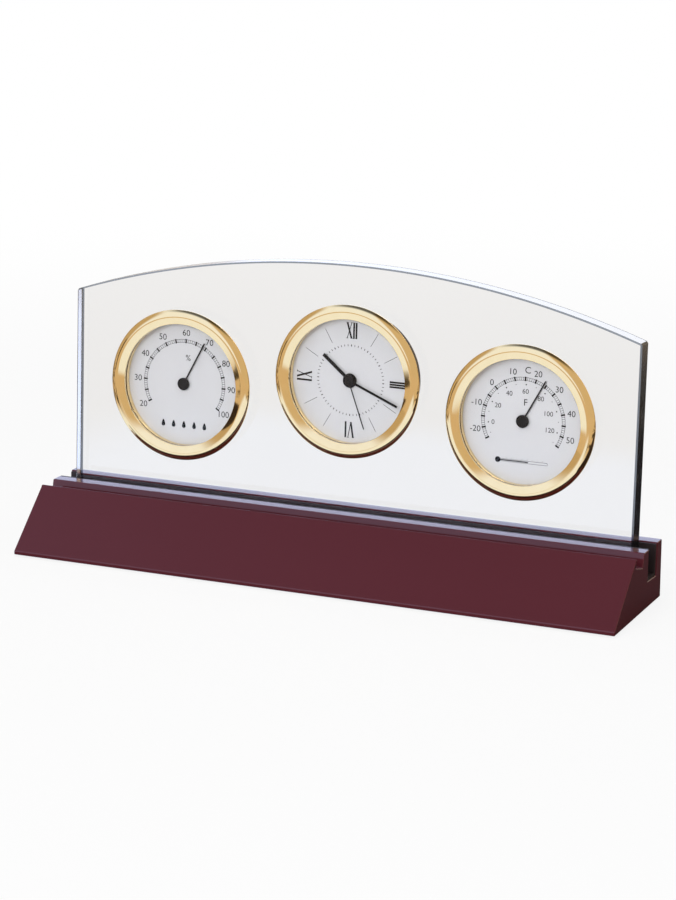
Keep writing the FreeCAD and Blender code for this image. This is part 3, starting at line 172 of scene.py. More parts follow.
base = block(LENGTH, DEPTH, TOP - FELT, (0, 0, (TOP + FELT) / 2))
pick(base)
bpy.ops.object.mode_set(mode="EDIT")
bpy.ops.mesh.select_all(action="SELECT")
slope_normal = Vector((0, -(TOP - FELT - SLOPE_FOOT), SLOPE_RUN)).normalized()
bpy.ops.mesh.bisect(plane_co=(0, FRONT, FELT + SLOPE_FOOT), plane_no=slope_normal,
                    use_fill=True, clear_outer=True)
bpy.ops.object.mode_set(mode="OBJECT")
for lean, width, deep, edge, side in ((GROOVE_LEAN, GROOVE_WIDTH, GROOVE_DEEP, GROOVE_BACK, -1),
                                      (LEAN, CHANNEL_WIDTH, CHANNEL_DEEP, CHANNEL_FRONT, 1)):
    across = Vector((0, math.cos(lean), -math.sin(lean)))
    along = Vector((0, math.sin(lean), math.cos(lean)))
    foot = Vector((0, edge, TOP)) - along * deep
    middle = foot + across * width / 2 * side + along * CUTTER / 2
    carve(base, block(LENGTH + 2 * OVERRUN, width, CUTTER, middle, -lean))
land_middle = FRONT + SLOPE_RUN + LAND / 2
rounding = base.data.attributes.new("bevel_weight_edge", "FLOAT", "EDGE")
for edge in base.data.edges:
    ends = [base.data.vertices[v].co for v in edge.vertices]
    on_land = all(abs(end.y - land_middle) < LAND and end.z > TOP - MARGIN for end in ends)
    lengthwise = abs(ends[0].x - ends[1].x) > MARGIN
    rounding.data[edge.index].value = LAND_ROUND_SHARE if on_land and lengthwise else 1.0
modify(base, "BEVEL", width=EDGE_ROUND, segments=3, limit_method="WEIGHT", use_clamp_overlap=False)
lacquer = finish_of("burgundy_lacquer", colour(81, 29, 37), colour(87, 34, 42), grain=0.09, roughness=0.4,
                    change=0.06, Specular_IOR_Level=0.1, Coat_Weight=1.0, Coat_Roughness=0.05, Coat_IOR=1.4)
put(base, "lacquered_base", "stand", [lacquer], ["base_block"])


# Felt under the base, glued on and cut a little smaller than the block, and the soft lining that
# the glass is pressed into. The felt is pressed wool, the lining a folded strip of black rubber,
# and the rubber rings that hold the inserts in the glass are of the same rubber.

def wear(nodes, finish):
    """Give CAD nodes their material."""
    for node in nodes:
        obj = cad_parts[node]
        obj.data.materials.clear()
        obj.data.materials.append(finish)


felt = finish_of("black_felt", colour(16, 16, 17), colour(38, 37, 38), grain=0.0005, roughness=0.95,
                 change=0.1, relief=0.0002, Sheen_Weight=0.4)
rubber = finish_of("black_rubber", colour(34, 25, 26), colour(44, 33, 34), grain=0.0012, roughness=0.6,
                   change=0.2, relief=0.00002)
wear(["base_felt"], felt)
wear(["glass_lining", "clock_gasket", "hygrometer_gasket", "thermometer_gasket"], rubber)


# Glass plate. Float glass of 9.5 mm, sawn to the arch, bored three times and ground; its sides
# and its arch have a small polished chamfer. It stands in the base's channel and leans back.

GLASS_WIDTH, GLASS_THICK, GLASS_FOOT, CHAMFER = 274, 9.5, -13.2, 0.7
PLATE_FRONT = CHANNEL_FRONT + (CHANNEL_WIDTH - GLASS_THICK) / 2 / math.cos(LEAN)
CORNER, ARCH_RISE, HOLE, SPARE = 89.4, 22.9, 30.5, 5
INSERTS = {"hygrometer": (-82.9, 49.5), "clock": (0.0, 59.4), "thermometer": (82.9, 49.5)}


def on_plate(across, up):
    """The place of a piece whose X and Y lie in the glass's front and whose Z points out of it."""
    away = Vector((0, -math.cos(LEAN), math.sin(LEAN)))
    rise = Vector((0, math.sin(LEAN), math.cos(LEAN)))
    at = Vector((across, PLATE_FRONT, TOP)) + rise * up
    return Matrix(((1, 0, 0, at.x * MM), (0, rise.y, away.y, at.y * MM), (0, rise.z, away.z, at.z * MM),
                   (0, 0, 0, 1)))


def disc(radius, back, front, middle=(0, 0), sides=96):
    """A round block whose axis is Z."""
    bpy.ops.object.select_all(action="DESELECT")
    bpy.ops.mesh.primitive_cylinder_add(vertices=sides, radius=radius, depth=front - back,
                                        location=(*middle, (front + back) / 2))
    obj = bpy.context.object
    bpy.ops.object.transform_apply(location=True, rotation=True, scale=True)
    return obj


def clear(name, tint, deep_tint, roughness, grain=0.05, bending=1.5):
    """Glass: rays of light that look for a lamp go straight through it."""
    made = finish_of(name, (*tint, 1), (*deep_tint, 1), grain, roughness, roughness, Transmission_Weight=1.0,
                     IOR=bending)
    tree = made.node_tree
    start = Value(tree)
    shadow = start.node("ShaderNodeLightPath", output="Is Shadow Ray")
    through = start.node("ShaderNodeBsdfTransparent", None, {0: (*tint, 1)})
    solid = Value(tree, tree.nodes["Principled BSDF"].outputs[0])
    mixed = start.node("ShaderNodeMixShader", None, {0: shadow, 1: solid, 2: through})
    tree.links.new(mixed.socket, tree.nodes["Material Output"].inputs[0])
    return made


arch_radius = ((GLASS_WIDTH / 2) ** 2 + ARCH_RISE ** 2) / (2 * ARCH_RISE)
glass_top = CORNER + ARCH_RISE
plate = block(GLASS_WIDTH, glass_top - GLASS_FOOT + SPARE, GLASS_THICK,
              (0, (glass_top + SPARE + GLASS_FOOT) / 2, -GLASS_THICK / 2))
carve(plate, disc(arch_radius, -CUTTER / 2, CUTTER / 2, (0, glass_top - arch_radius), 1024), "INTERSECT")
modify(plate, "BEVEL", width=CHAMFER, segments=1, limit_method="ANGLE", angle_limit=math.radians(40))
for middle in INSERTS.values():
    carve(plate, disc(HOLE, -CUTTER / 2, CUTTER / 2, middle, 128))
# the places of the painted-shade side and chamfer glass and the painted-light arch glass in the plate's list
# of materials
SIDE, ARCH_CHAMFER, ARCH = 1, 2, 3
edge_kinds = {}
for face in plate.data.polygons:
    forward = face.normal.z
    if abs(face.center.x) > GLASS_WIDTH / 2 - MARGIN and abs(forward) < 0.9:
        edge_kinds[face.index] = SIDE
    elif face.center.y > CORNER - MARGIN and 0.5 < forward < 0.9:
        edge_kinds[face.index] = ARCH_CHAMFER
    elif face.center.y > CORNER - MARGIN and abs(forward) < 0.1:
        edge_kinds[face.index] = ARCH
# The plate's edges are one glass all round: the side faces and the arch's front chamfer are tinted dark as
# painted shade, and the arch's face is tinted pale as painted light.
clear_glass = clear("clear_glass", (0.89, 0.889, 0.888), (0.898, 0.897, 0.896), roughness=0.0)
shaded_glass_side = clear("glass_side_painted_shade", (0.035, 0.043, 0.058), (0.055, 0.066, 0.086), roughness=0.2,
                    grain=0.002, bending=1.35)
shaded_arch_chamfer = clear("arch_chamfer_painted_shade", (0.08, 0.095, 0.12), (0.12, 0.14, 0.17), roughness=0.22, grain=0.002)
lit_glass_arch = clear("glass_arch_painted_light", (0.93, 0.93, 0.935), (0.97, 0.97, 0.975), roughness=0.12,
                      grain=0.004, bending=1.1)
put(plate, "glass_plate", "stand", [clear_glass, shaded_glass_side, shaded_arch_chamfer, lit_glass_arch],
    ["glass_panel"], on_plate(0, 0))
for index, kind in edge_kinds.items():
    plate.data.polygons[index].material_index = kind


# Bezels. Spun brass rings, gilt and polished, with a crowned band, a ridge and a bevel that falls
# to the crystal. A thin skirt behind each holds the insert's case in the hole of the glass.

def turned(outline, sides=192, capped=False):
    """A turned piece from (radius, level) points: a circle that is extruded from point to point."""
    bpy.ops.object.select_all(action="DESELECT")
    radius, level = outline[0]
    bpy.ops.mesh.primitive_circle_add(vertices=sides, radius=radius, location=(0, 0, level),
                                      fill_type="NGON" if capped else "NOTHING")
    obj = bpy.context.object
    bpy.ops.object.transform_apply(location=True, rotation=True, scale=True)
    bpy.ops.object.mode_set(mode="EDIT")
    bpy.ops.mesh.select_mode(type="EDGE")
    bpy.ops.mesh.select_all(action="SELECT")
    for wider, higher in outline[1:] + ([] if capped else outline[:1]):
        bpy.ops.mesh.extrude_edges_move(TRANSFORM_OT_translate={"value": (0, 0, higher - level)})
        bpy.ops.transform.resize(value=(wider / radius, wider / radius, 1), center_override=(0, 0, 0))
        radius, level = wider, higher
    if capped:
        bpy.ops.mesh.edge_face_add()
    bpy.ops.mesh.select_all(action="SELECT")
    bpy.ops.mesh.remove_doubles(threshold=0.0005)
    bpy.ops.mesh.normals_make_consistent(inside=False)
    bpy.ops.object.mode_set(mode="OBJECT")
    return obj


def crowned(start, end, radius, steps):
    """Points of the arc between two (radius, level) points that bulges out and forward."""
    a, b = Vector(start), Vector(end)
    chord = b - a
    side = Vector((-chord.y, chord.x)).normalized()
    middle = (a + b) / 2 - side * math.sqrt(radius ** 2 - (chord.length / 2) ** 2)
    first = math.atan2(a.y - middle.y, a.x - middle.x)
    last = math.atan2(b.y - middle.y, b.x - middle.x)
    return [(middle.x + radius * math.cos(first + (last - first) * n / steps),
             middle.y + radius * math.sin(first + (last - first) * n / steps)) for n in range(steps + 1)]


def soften(obj, width, angle=35):
    """Round the edges where faces turn by more than an angle."""
    modify(obj, "BEVEL", width=width, segments=2, limit_method="ANGLE", angle_limit=math.radians(angle))


BEZEL, RIM, RIDGE, RIDGE_LEVEL, CROWN = 35.0, 0.7, 31.3, 2.4, 4.0
OPENING, BEVEL_FOOT, SEAT = 28.35, 1.3, 0.1
CASE, SKIRT_WALL, SKIRT = 29.9, 0.4, 4.0
at_insert = {name: on_plate(*middle) for name, middle in INSERTS.items()}
gilt = finish_of("gilt_brass", colour(240, 212, 154), colour(247, 223, 170), grain=0.004, roughness=0.07,
                 change=0.04, Metallic=1.0)
for name, place in at_insert.items():
    ring = turned([(OPENING, SEAT), (OPENING, BEVEL_FOOT)]
                  + crowned((RIDGE, RIDGE_LEVEL), (BEZEL, RIM), CROWN, 12)
                  + [(BEZEL, 0.0), (CASE + SKIRT_WALL, 0.0), (CASE + SKIRT_WALL, -SKIRT), (CASE, -SKIRT),
                     (CASE, SEAT)])
    soften(ring, 0.12)
    put(ring, f"gilt_bezel_{name}", "stand", [gilt], [f"{name}_bezel"], place)


# Crystals and the gilt rings behind them. Each crystal is a flat disc of clear mineral glass under
# the bezel's lip, and the ring keeps the dial at its depth and shows as a gold wall around it.

CRYSTAL, CRYSTAL_EDGE, CRYSTAL_BACK = CASE - 0.3, 0.2, -1.1
RING_RADIUS, RING_BACK = 28.7, -3.7
crystal_glass = clear("crystal", (0.985, 0.988, 0.99), (0.99, 0.992, 0.995), roughness=0.0, bending=1.2)
for name, place in at_insert.items():
    flat = CRYSTAL - CRYSTAL_EDGE
    crystal = turned([(flat, SEAT), (CRYSTAL, SEAT - CRYSTAL_EDGE), (CRYSTAL, CRYSTAL_BACK + CRYSTAL_EDGE),
                      (flat, CRYSTAL_BACK)], capped=True)
    put(crystal, f"crystal_{name}", "stand", [crystal_glass], [f"{name}_crystal"], place)
    wall = turned([(RING_RADIUS, CRYSTAL_BACK), (OPENING, CRYSTAL_BACK), (OPENING, RING_BACK),
                   (RING_RADIUS, RING_BACK)])
    soften(wall, 0.08)
    put(wall, f"gilt_wall_{name}", "stand", [gilt], [f"{name}_dial_ring"], place)


# Dials. Thin aluminium discs with a satin silvered face, pierced in the middle, and printed in
# matt black: plain numbers, fine divisions, and small signs for moisture and for warmth.

DIAL, DIAL_FACE, DIAL_BACK, INK = 28.6, -4.0, -4.4, 0.02
silver = finish_of("silver_dial", colour(187, 187, 189), colour(195, 195, 197), grain=0.0006, roughness=0.4,
                   change=0.08, relief=0.000004, Metallic=0.15)
black_ink = finish_of("black_ink", colour(10, 9, 10), colour(20, 18, 20), grain=0.001, roughness=0.6,
                      change=0.1, Specular_IOR_Level=0.1)


def polar(radius, degrees):
    """A point of the dial, degrees clockwise from the top."""
    return radius * math.sin(math.radians(degrees)), radius * math.cos(math.radians(degrees))


def blank():
    """An empty print, open for strokes."""
    bpy.ops.object.select_all(action="DESELECT")
    bpy.ops.mesh.primitive_cube_add(size=1)
    obj = bpy.context.object
    bpy.ops.object.mode_set(mode="EDIT")
    bpy.ops.mesh.select_all(action="SELECT")
    bpy.ops.mesh.delete(type="VERT")
    return obj


def stroke(start, end, width):
    """A printed line between two points of the dial, added to the open print. Without a window a
    positive angle turns clockwise."""
    run = Vector(end) - Vector(start)
    middle = (Vector(start) + Vector(end)) / 2
    angle = math.atan2(run.y, run.x)
    bpy.ops.mesh.select_all(action="DESELECT")
    bpy.ops.mesh.primitive_cube_add(size=1, location=(0, 0, 0))
    bpy.ops.transform.resize(value=(run.length, width, INK), center_override=(0, 0, 0))
    bpy.ops.transform.translate(value=(middle.x, middle.y, DIAL_FACE + INK / 2))
    if angle:
        bpy.ops.transform.rotate(value=-angle, orient_axis="Z", center_override=(middle.x, middle.y, 0))


def spot(middle, radius, sides=24):
    """A printed round spot, added to the open print."""
    bpy.ops.mesh.select_all(action="DESELECT")
    bpy.ops.mesh.primitive_cylinder_add(vertices=sides, radius=radius, depth=INK,
                                        location=(*middle, DIAL_FACE + INK / 2))


FIGURE_SHARE = 0.69


def written(text, middle, height):
    """Printed figures as a mesh, height being that of the figures, which is a share of the font's."""
    bpy.ops.object.select_all(action="DESELECT")
    bpy.ops.object.text_add(location=(0, 0, 0))
    obj = bpy.context.object
    obj.data.body, obj.data.align_x, obj.data.align_y = text, "CENTER", "CENTER"
    obj.data.size, obj.data.resolution_u = height / FIGURE_SHARE, 4
    bpy.ops.object.convert(target="MESH")
    obj = bpy.context.object
    modify(obj, "SOLIDIFY", thickness=INK, offset=0)
    low = [min(v.co[i] for v in obj.data.vertices) for i in (0, 1)]
    high = [max(v.co[i] for v in obj.data.vertices) for i in (0, 1)]
    centre = Matrix.Translation((-(low[0] + high[0]) / 2, -(low[1] + high[1]) / 2, 0))
    obj.data.transform(Matrix.Translation((*middle, DIAL_FACE + INK / 2)) @ centre)
    return obj


def print_on(name, lines, figures):
    """Close the strokes and figures of a dial into one print and lay it on the dial."""
    pick(lines)
    for figure in figures:
        figure.select_set(True)
    bpy.ops.object.join()
    put(lines, f"print_{name}", "stand", [black_ink], (), at_insert[name], smooth=0)


def divisions(radius, count, step, start, fine, heavy, every=5):
    """Divisions around a dial, each as (length, width): fine ones, and a heavy one at every so many."""
    for number in range(count):
        length, width = fine if number % every else heavy
        angle = start + number * step
        stroke(polar(radius - length / 2, angle), polar(radius + length / 2, angle), width)


STEPS, STEP = 80, 3


def weather_scale(radius, start):
    """The scale of a weather dial: divisions between two arcs of one short stroke to the step."""
    divisions(radius, STEPS + 1, STEP, start, fine=(1.4, 0.17), heavy=(2.0, 0.75))
    for arc in (radius - 0.7, radius + 0.7):
        for number in range(STEPS):
            angle = start + number * STEP
            stroke(polar(arc, angle), polar(arc, angle + STEP), 0.16)


for name, hole in (("hygrometer", 1.0), ("clock", 2.6), ("thermometer", 1.0)):
    dial = turned([(DIAL, DIAL_BACK), (DIAL, DIAL_FACE), (hole, DIAL_FACE), (hole, DIAL_BACK)])
    put(dial, f"dial_{name}", "stand", [silver], [f"{name}_dial"], at_insert[name])

# hygrometer: 20 to 100 percent, three degrees to the percent, and five drops below
HYGROMETER_TURN, PERCENT_AT_TOP = 1.5, 60
DROPS, DROP_PITCH, DROP_FOOT, DROP = (-2, -1, 0, 1, 2), 5.25, -19.9, 0.95
DROP_STROKES = (((-0.62, 0.55), (0, 2.2), 0.5), ((0.62, 0.55), (0, 2.2), 0.5), ((0, 0), (0, 1.7), 0.7))


def percent(value):
    return (value - PERCENT_AT_TOP) * STEP + HYGROMETER_TURN


lines = blank()
weather_scale(19.9, percent(20))
for number in DROPS:
    middle = Vector((number * DROP_PITCH, DROP_FOOT))
    spot(middle, DROP)
    for start, end, width in DROP_STROKES:
        stroke(middle + Vector(start), middle + Vector(end), width)
bpy.ops.object.mode_set(mode="OBJECT")
figures = [written("%", (1.7, 12.2), 2.7)]
for value in range(20, 101, 10):
    figures.append(written(str(value), polar(23.8, percent(value)), 2.8))
print_on("hygrometer", lines, figures)

# clock: twelve radial hours, four of them Roman numerals, around a ring of minutes
HOUR, HOUR_START, HOUR_END, HOUR_WIDTH = 30, 18.7, 25.8, 0.2
HEAVY, THIN, SERIF, FOOT, HEAD = 0.84, 0.34, 0.2, 19.1, 26.25
STEM_SERIF, ARM_SERIF = 0.5, 0.55

lines = blank()
divisions(15.9, 60, 6, 0, fine=(0.9, 0.28), heavy=(0.9, 0.4))
for hour in (1, 2, 4, 5, 7, 8, 10, 11):
    stroke(polar(HOUR_START, HOUR * hour), polar(HOUR_END, HOUR * hour), HOUR_WIDTH)
bpy.ops.object.mode_set(mode="OBJECT")


def numeral(stems, crosses, wedges):
    """A Roman numeral above the centre: upright stems, crosses and wedges at their places across."""
    obj = blank()
    for x in stems:
        stroke((x, FOOT), (x, HEAD), HEAVY)
        for y in (FOOT, HEAD):
            stroke((x - STEM_SERIF, y), (x + STEM_SERIF, y), SERIF)
    for left, right in crosses:
        stroke((right, FOOT), (left, HEAD), HEAVY)
        stroke((left, FOOT), (right, HEAD), THIN)
    for left, right in wedges:
        stroke(((left + right) / 2, FOOT), (left, HEAD), HEAVY)
        stroke(((left + right) / 2, FOOT), (right, HEAD), THIN)
    for left, right in crosses + wedges:
        for y in (FOOT, HEAD) if (left, right) in crosses else (HEAD,):
            for x in (left, right):
                stroke((x - ARM_SERIF, y), (x + ARM_SERIF, y), SERIF)
    bpy.ops.object.mode_set(mode="OBJECT")
    return obj


figures = []
for hour, stems, crosses, wedges in ((12, (1.05, 2.25), [(-2.2, -0.1)], []), (3, (-1.1, 0, 1.1), [], []),
                                     (6, (1.85,), [], [(-1.9, 0.6)]), (9, (-1.9,), [(-0.5, 1.9)], [])):
    figure = numeral(stems, crosses, wedges)
    figure.data.transform(Matrix.Rotation(-math.radians(HOUR * hour), 4, "Z"))
    figures.append(figure)
print_on("clock", lines, figures)

# thermometer: -25 to 55 Celsius outside, Fahrenheit inside, and a small lying thermometer below
THERMOMETER_TURN, CELSIUS_AT_TOP = 1.1, 15
CELSIUS = ((-20, 23.0), (-10, 23.0), (0, 22.0), (10, 22.3), (20, 22.5), (30, 22.6), (40, 22.9), (50, 23.1))
FAHRENHEIT = ((0, 14.2), (20, 13.4), (40, 13.7), (60, 13.4), (80, 13.3), (100, 12.6), (120, 13.0))
BULB, TUBE_START, TUBE_END, TUBE_LEVEL, TUBE_HALF = -11.2, -10.5, 12.0, -18.4, 0.55
COLUMN_END, MARKS, MARK_START, MARK_PITCH, FINE_LINE = 3.0, 8, -7, 2.4, 0.16


def celsius(value):
    return (value - CELSIUS_AT_TOP) * STEP + THERMOMETER_TURN


def fahrenheit(value):
    return celsius((value - 32) / 1.8)


lines = blank()
weather_scale(18.9, celsius(-25))
for value in range(-10, 131, 10):
    spot(polar(16.4, fahrenheit(value)), 0.2 if value % 20 else 0.32, 12)
spot((BULB, TUBE_LEVEL), 1.3)
above, below = TUBE_LEVEL + TUBE_HALF, TUBE_LEVEL - TUBE_HALF
for start, end in (((TUBE_START, above), (TUBE_END, above)), ((TUBE_START, below), (TUBE_END, below)),
                   ((TUBE_END, above), (TUBE_END, below))):
    stroke(start, end, FINE_LINE)
stroke((TUBE_START, TUBE_LEVEL), (COLUMN_END, TUBE_LEVEL), 0.5)
for number in range(MARKS):
    x = MARK_START + number * MARK_PITCH
    stroke((x, above + 0.35), (x, above + 0.75), FINE_LINE)
bpy.ops.object.mode_set(mode="OBJECT")
figures = [written("C", (1.4, 22.9), 2.9), written("F", (0.9, 8.4), 2.9)]
for value, radius in CELSIUS:
    figures.append(written(str(value), polar(radius, celsius(value)), 2.7))
for value, radius in FAHRENHEIT:
    figures.append(written(str(value), polar(radius, fahrenheit(value)), 2.15))
print_on("thermometer", lines, figures)


# Hands and pointers. Batons stamped from thin metal on round bosses and lacquered black. The
# clock's bosses are pressed on their pipes, and a small domed cap ends the seconds hand.

HAND_THICK = 0.3
DOME = ((0.0, 0.2), (0.18, 0.06), (0.5, 0.0))
black_hand = finish_of("black_hands", colour(10, 10, 11), colour(20, 19, 21), grain=0.0008, roughness=0.4,
                       change=0.12, Specular_IOR_Level=0.15)


def hand(name, node, insert, body, degrees, back, boss_top, boss, width, length, bore=0.0):
    """One hand: a baton that starts in the edge of its boss, which is bored or ends in a dome."""
    if bore:
        centre = turned([(boss, back), (boss, boss_top), (bore, boss_top), (bore, back)], 96)
    else:
        dome = [(boss - inward, boss_top - down) for inward, down in DOME]
        centre = turned([(boss, back)] + dome, 96, capped=True)
    blade = block(width, length - boss + width / 2, HAND_THICK,
                  (0, (length + boss - width / 2) / 2, back + HAND_THICK / 2))
    modify(blade, "BEVEL", width=0.06, segments=2)
    carve(centre, blade, "UNION")
    centre.data.transform(Matrix.Rotation(-math.radians(degrees), 4, "Z"))
    put(centre, name, body, [black_hand], [node], at_insert[insert])


hand("hand_hours", "hour_hand", "clock", "hours_train", degrees=309.5, back=-3.1, boss_top=-2.8, boss=3.3,
     width=1.6, length=17.0, bore=1.5)
hand("hand_minutes", "minute_hand", "clock", "minutes_train", degrees=112.4, back=-2.5, boss_top=-2.2,
     boss=3.0, width=1.1, length=25.4, bore=0.9)
hand("hand_seconds", "second_hand", "clock", "seconds_train", degrees=159.6, back=-1.9, boss_top=-1.4,
     boss=2.8, width=0.45, length=22.8)
for insert, degrees, length in (("hygrometer", 27.6, 22.3), ("thermometer", 28.3, 21.5)):
    hand(f"needle_{insert}", f"{insert}_pointer", insert, f"{insert}_needle", degrees, back=-3.1,
         boss_top=-2.4, boss=2.9, width=0.65, length=length)


# Cases. Cups moulded from black plastic with a fine spark-eroded grain. The clock's has a round
# opening with two notches for the battery hatch; the weather cases have vents and screw holes.
# The hatch and the setting knob are moulded from the same plastic.

INNER, FLOOR_THICK, CASE_ROUND = 27.2, 1.2, 1.0
CLOCK_LEDGE, CLOCK_FLOOR, CLOCK_DRILLED = -5.6, -16.8, (-20, -15)
WEATHER_LEDGE, WEATHER_FLOOR, WEATHER_DRILLED = -4.4, -11.3, (-14, -10)
HATCH_MIDDLE, HATCH, STEM_MIDDLE, SMALL_HOLE = (6.009, 16.51), 7.4, (-8.863, 1.563), 0.6
NOTCH_REACH, NOTCH_WIDTH, NOTCH_TURN, NOTCH_TOOL = 9.1, 3.6, 60, 6
VENTS, VENT, VENT_RING, SCREW_AT = 8, 1.6, 17, 11
moulded = finish_of("black_moulding", colour(24, 24, 26), colour(36, 36, 38), grain=0.0004, roughness=0.5,
                    change=0.1, relief=0.00003)


def cup(name, ledge, floor, tools):
    """The case of one insert, open to the front, with a ledge for its movement."""
    outside = floor - FLOOR_THICK
    corner = crowned((CASE, outside + CASE_ROUND), (CASE - CASE_ROUND, outside), CASE_ROUND, 6)
    case = turned([(CASE - CASE_ROUND, outside)] + corner[::-1][1:]
                  + [(CASE, CRYSTAL_BACK), (RING_RADIUS, CRYSTAL_BACK), (RING_RADIUS, ledge), (INNER, ledge),
                     (INNER, floor)], capped=True)
    for tool in tools:
        carve(case, tool)
    soften(case, 0.12, 50)
    put(case, f"moulded_case_{name}", "stand", [moulded], [f"{name}_case"], at_insert[name])


notches = block(2 * NOTCH_REACH, NOTCH_WIDTH, NOTCH_TOOL, (0, 0, 0))
notches.data.transform(Matrix.Translation((*HATCH_MIDDLE, CLOCK_FLOOR - FLOOR_THICK / 2))
                       @ Matrix.Rotation(-math.radians(NOTCH_TURN), 4, "Z"))
cup("clock", CLOCK_LEDGE, CLOCK_FLOOR, [disc(HATCH, *CLOCK_DRILLED, HATCH_MIDDLE), notches,
                                        disc(SMALL_HOLE, *CLOCK_DRILLED, STEM_MIDDLE, 32)])
for name in ("hygrometer", "thermometer"):
    vents = [disc(VENT, *WEATHER_DRILLED, polar(VENT_RING, 90 - 360 / VENTS * n), 32) for n in range(VENTS)]
    screw_holes = [disc(SMALL_HOLE, *WEATHER_DRILLED, (x, 0), 32) for x in (-SCREW_AT, SCREW_AT)]
    cup(name, WEATHER_LEDGE, WEATHER_FLOOR, vents + screw_holes)
wear(["battery_hatch", "setting_knob"], moulded)


# Clock movement, behind the dial. Two moulded plates and a rear plate on screwed pillars carry a
# train of moulded wheels, a stepping motor with a copper coil, a small board and a button cell.

def inside(nodes, name, dark, light, grain, roughness, change, **more):
    """Give a group of inner pieces one finish, and return it."""
    finish = finish_of(name, colour(*dark), colour(*light), grain, roughness, change, **more)
    wear(nodes, finish)
    return finish


inside(["movement_plate", "middle_plate", "back_plate"], "movement_plastic", (216, 212, 200), (228, 225, 214),
       grain=0.002, roughness=0.5, change=0.1, relief=0.00001)
inside(["hour_wheel", "cannon_pinion", "minute_wheel", "centre_wheel", "third_wheel", "second_wheel",
        "intermediate_wheel"], "gear_acetal", (232, 232, 228), (242, 242, 238), grain=0.002, roughness=0.35,
       change=0.08)
screw_steel = inside(["movement_screws"], "screw_steel", (160, 162, 166), (196, 198, 200), grain=0.0008,
                     roughness=0.32, change=0.12, Metallic=1.0)
inside(["rotor"], "rotor_magnet", (70, 70, 73), (98, 98, 100), grain=0.0004, roughness=0.45, change=0.1,
       relief=0.00001, Metallic=1.0)
inside(["stator", "coil_core"], "core_steel", (168, 168, 164), (198, 198, 194), grain=0.0006, roughness=0.36,
       change=0.1, Metallic=1.0)
inside(["coil_winding"], "coil_copper", (150, 76, 40), (196, 108, 62), grain=0.00012, roughness=0.3,
       change=0.1, relief=0.00004, stretch=(1, 0.05, 0.05), Metallic=1.0)
inside(["circuit_board"], "board_laminate", (160, 122, 66), (182, 142, 82), grain=0.001, roughness=0.5,
       change=0.1)
inside(["quartz_can"], "can_nickel", (206, 204, 198), (226, 224, 218), grain=0.001, roughness=0.16,
       change=0.08, Metallic=1.0)
inside(["clock_chip"], "chip_epoxy", (18, 18, 18), (30, 30, 30), grain=0.001, roughness=0.28, change=0.1)
inside(["battery"], "cell_steel", (190, 190, 188), (214, 214, 210), grain=0.0008, roughness=0.25, change=0.1,
       Metallic=1.0)
inside(["battery_contact_negative", "battery_contact_positive"], "contact_brass", (206, 190, 140),
       (226, 210, 160), grain=0.0008, roughness=0.25, change=0.1, Metallic=1.0)


# Weather movements. A turned brass bridge, screwed to the case, carries the arbor of the pointer,
# and a coiled strip that bends with the air's moisture or warmth turns it.

wear(["hygrometer_screws", "thermometer_screws"], screw_steel)
inside(["hygrometer_bridge", "thermometer_bridge", "hygrometer_arbor", "thermometer_arbor"], "turned_brass",
       (206, 168, 92), (226, 190, 114), grain=0.0008, roughness=0.28, change=0.1, Metallic=1.0)
inside(["hygrometer_coil", "thermometer_coil"], "coil_strip", (196, 168, 112), (216, 188, 132), grain=0.0006,
       roughness=0.3, change=0.1, Metallic=1.0)


# The studio: a pale floor that runs far back, and a white surround. Only polish sees painted reflections in
# them: a cool soft box in front of the object and darker, warmer walls on both sides of it, with painted
# shade beside the object.

WHITE = (1, 1, 1, 1)
FLOOR_REFLECTION_COOL, FLOOR_REFLECTION_WARM = (1.0, 1.12, 1.45, 1), (0.72, 0.57, 0.42, 1)
SKY_REFLECTION_COOL, SKY_REFLECTION_WARM, SKY_REFLECTION_WARM_LEFT = (1.0, 1.14, 1.55, 1), (0.7, 0.57, 0.42, 1), (0.58, 0.455, 0.31, 1)
PAINTED_BOX_MIDDLE, PAINTED_BOX_HALF, PAINTED_BOX_FAR = -0.05, (0.16, 0.26), (-0.42, -0.3)
SKY_MIDDLE, SKY_HALF, AMBIENT = -0.33, (0.28, 0.45), 0.45


def looks(start):
    """Whether a ray comes from polish, and whether it comes from the eye, straight or through glass."""
    polish = start.maths("GREATER_THAN", start.node("ShaderNodeLightPath", output="Glossy Depth"), 0.5)
    polish = polish * (1 - start.node("ShaderNodeLightPath", output="Is Diffuse Ray"))
    eye = start.maths("MAXIMUM", start.node("ShaderNodeLightPath", output="Is Camera Ray"),
                      start.node("ShaderNodeLightPath", output="Is Transmission Ray"))
    return polish, eye * (1 - polish)


def step(start, value, low, high, first=0.0, last=1.0):
    """A soft step: the first value up to low, the last from high on."""
    return start.node("ShaderNodeMapRange", {"interpolation_type": "SMOOTHSTEP"},
                      {0: value, 1: low, 2: high, 3: first, 4: last})


bpy.ops.object.select_all(action="DESELECT")
bpy.ops.mesh.primitive_plane_add(size=30)
floor = bpy.context.object
floor.name = "floor"
paper = finish_of("paper", (0.9, 0.9, 0.9, 1), (0.92, 0.92, 0.92, 1), grain=0.5, roughness=0.9, change=0.02)
floor.data.materials.append(paper)
tree = paper.node_tree
start = Value(tree)
polish, eye = looks(start)
spread = start.node("ShaderNodeTexCoord", output=3)
reach = start.node("ShaderNodeVectorMath", {"operation": "LENGTH"}, {0: spread}, "Value")
x, y = (start.node("ShaderNodeSeparateXYZ", None, {0: spread}, axis) for axis in "XY")
# Painted reflection: polish sees the floor shine as a cool soft box in front of the object and as warm walls
# beside and behind it.
beside = step(start, start.maths("ABSOLUTE", x - PAINTED_BOX_MIDDLE), *PAINTED_BOX_HALF)
away = start.maths("MAXIMUM", beside, step(start, y, *PAINTED_BOX_FAR, 1.0, 0.0))
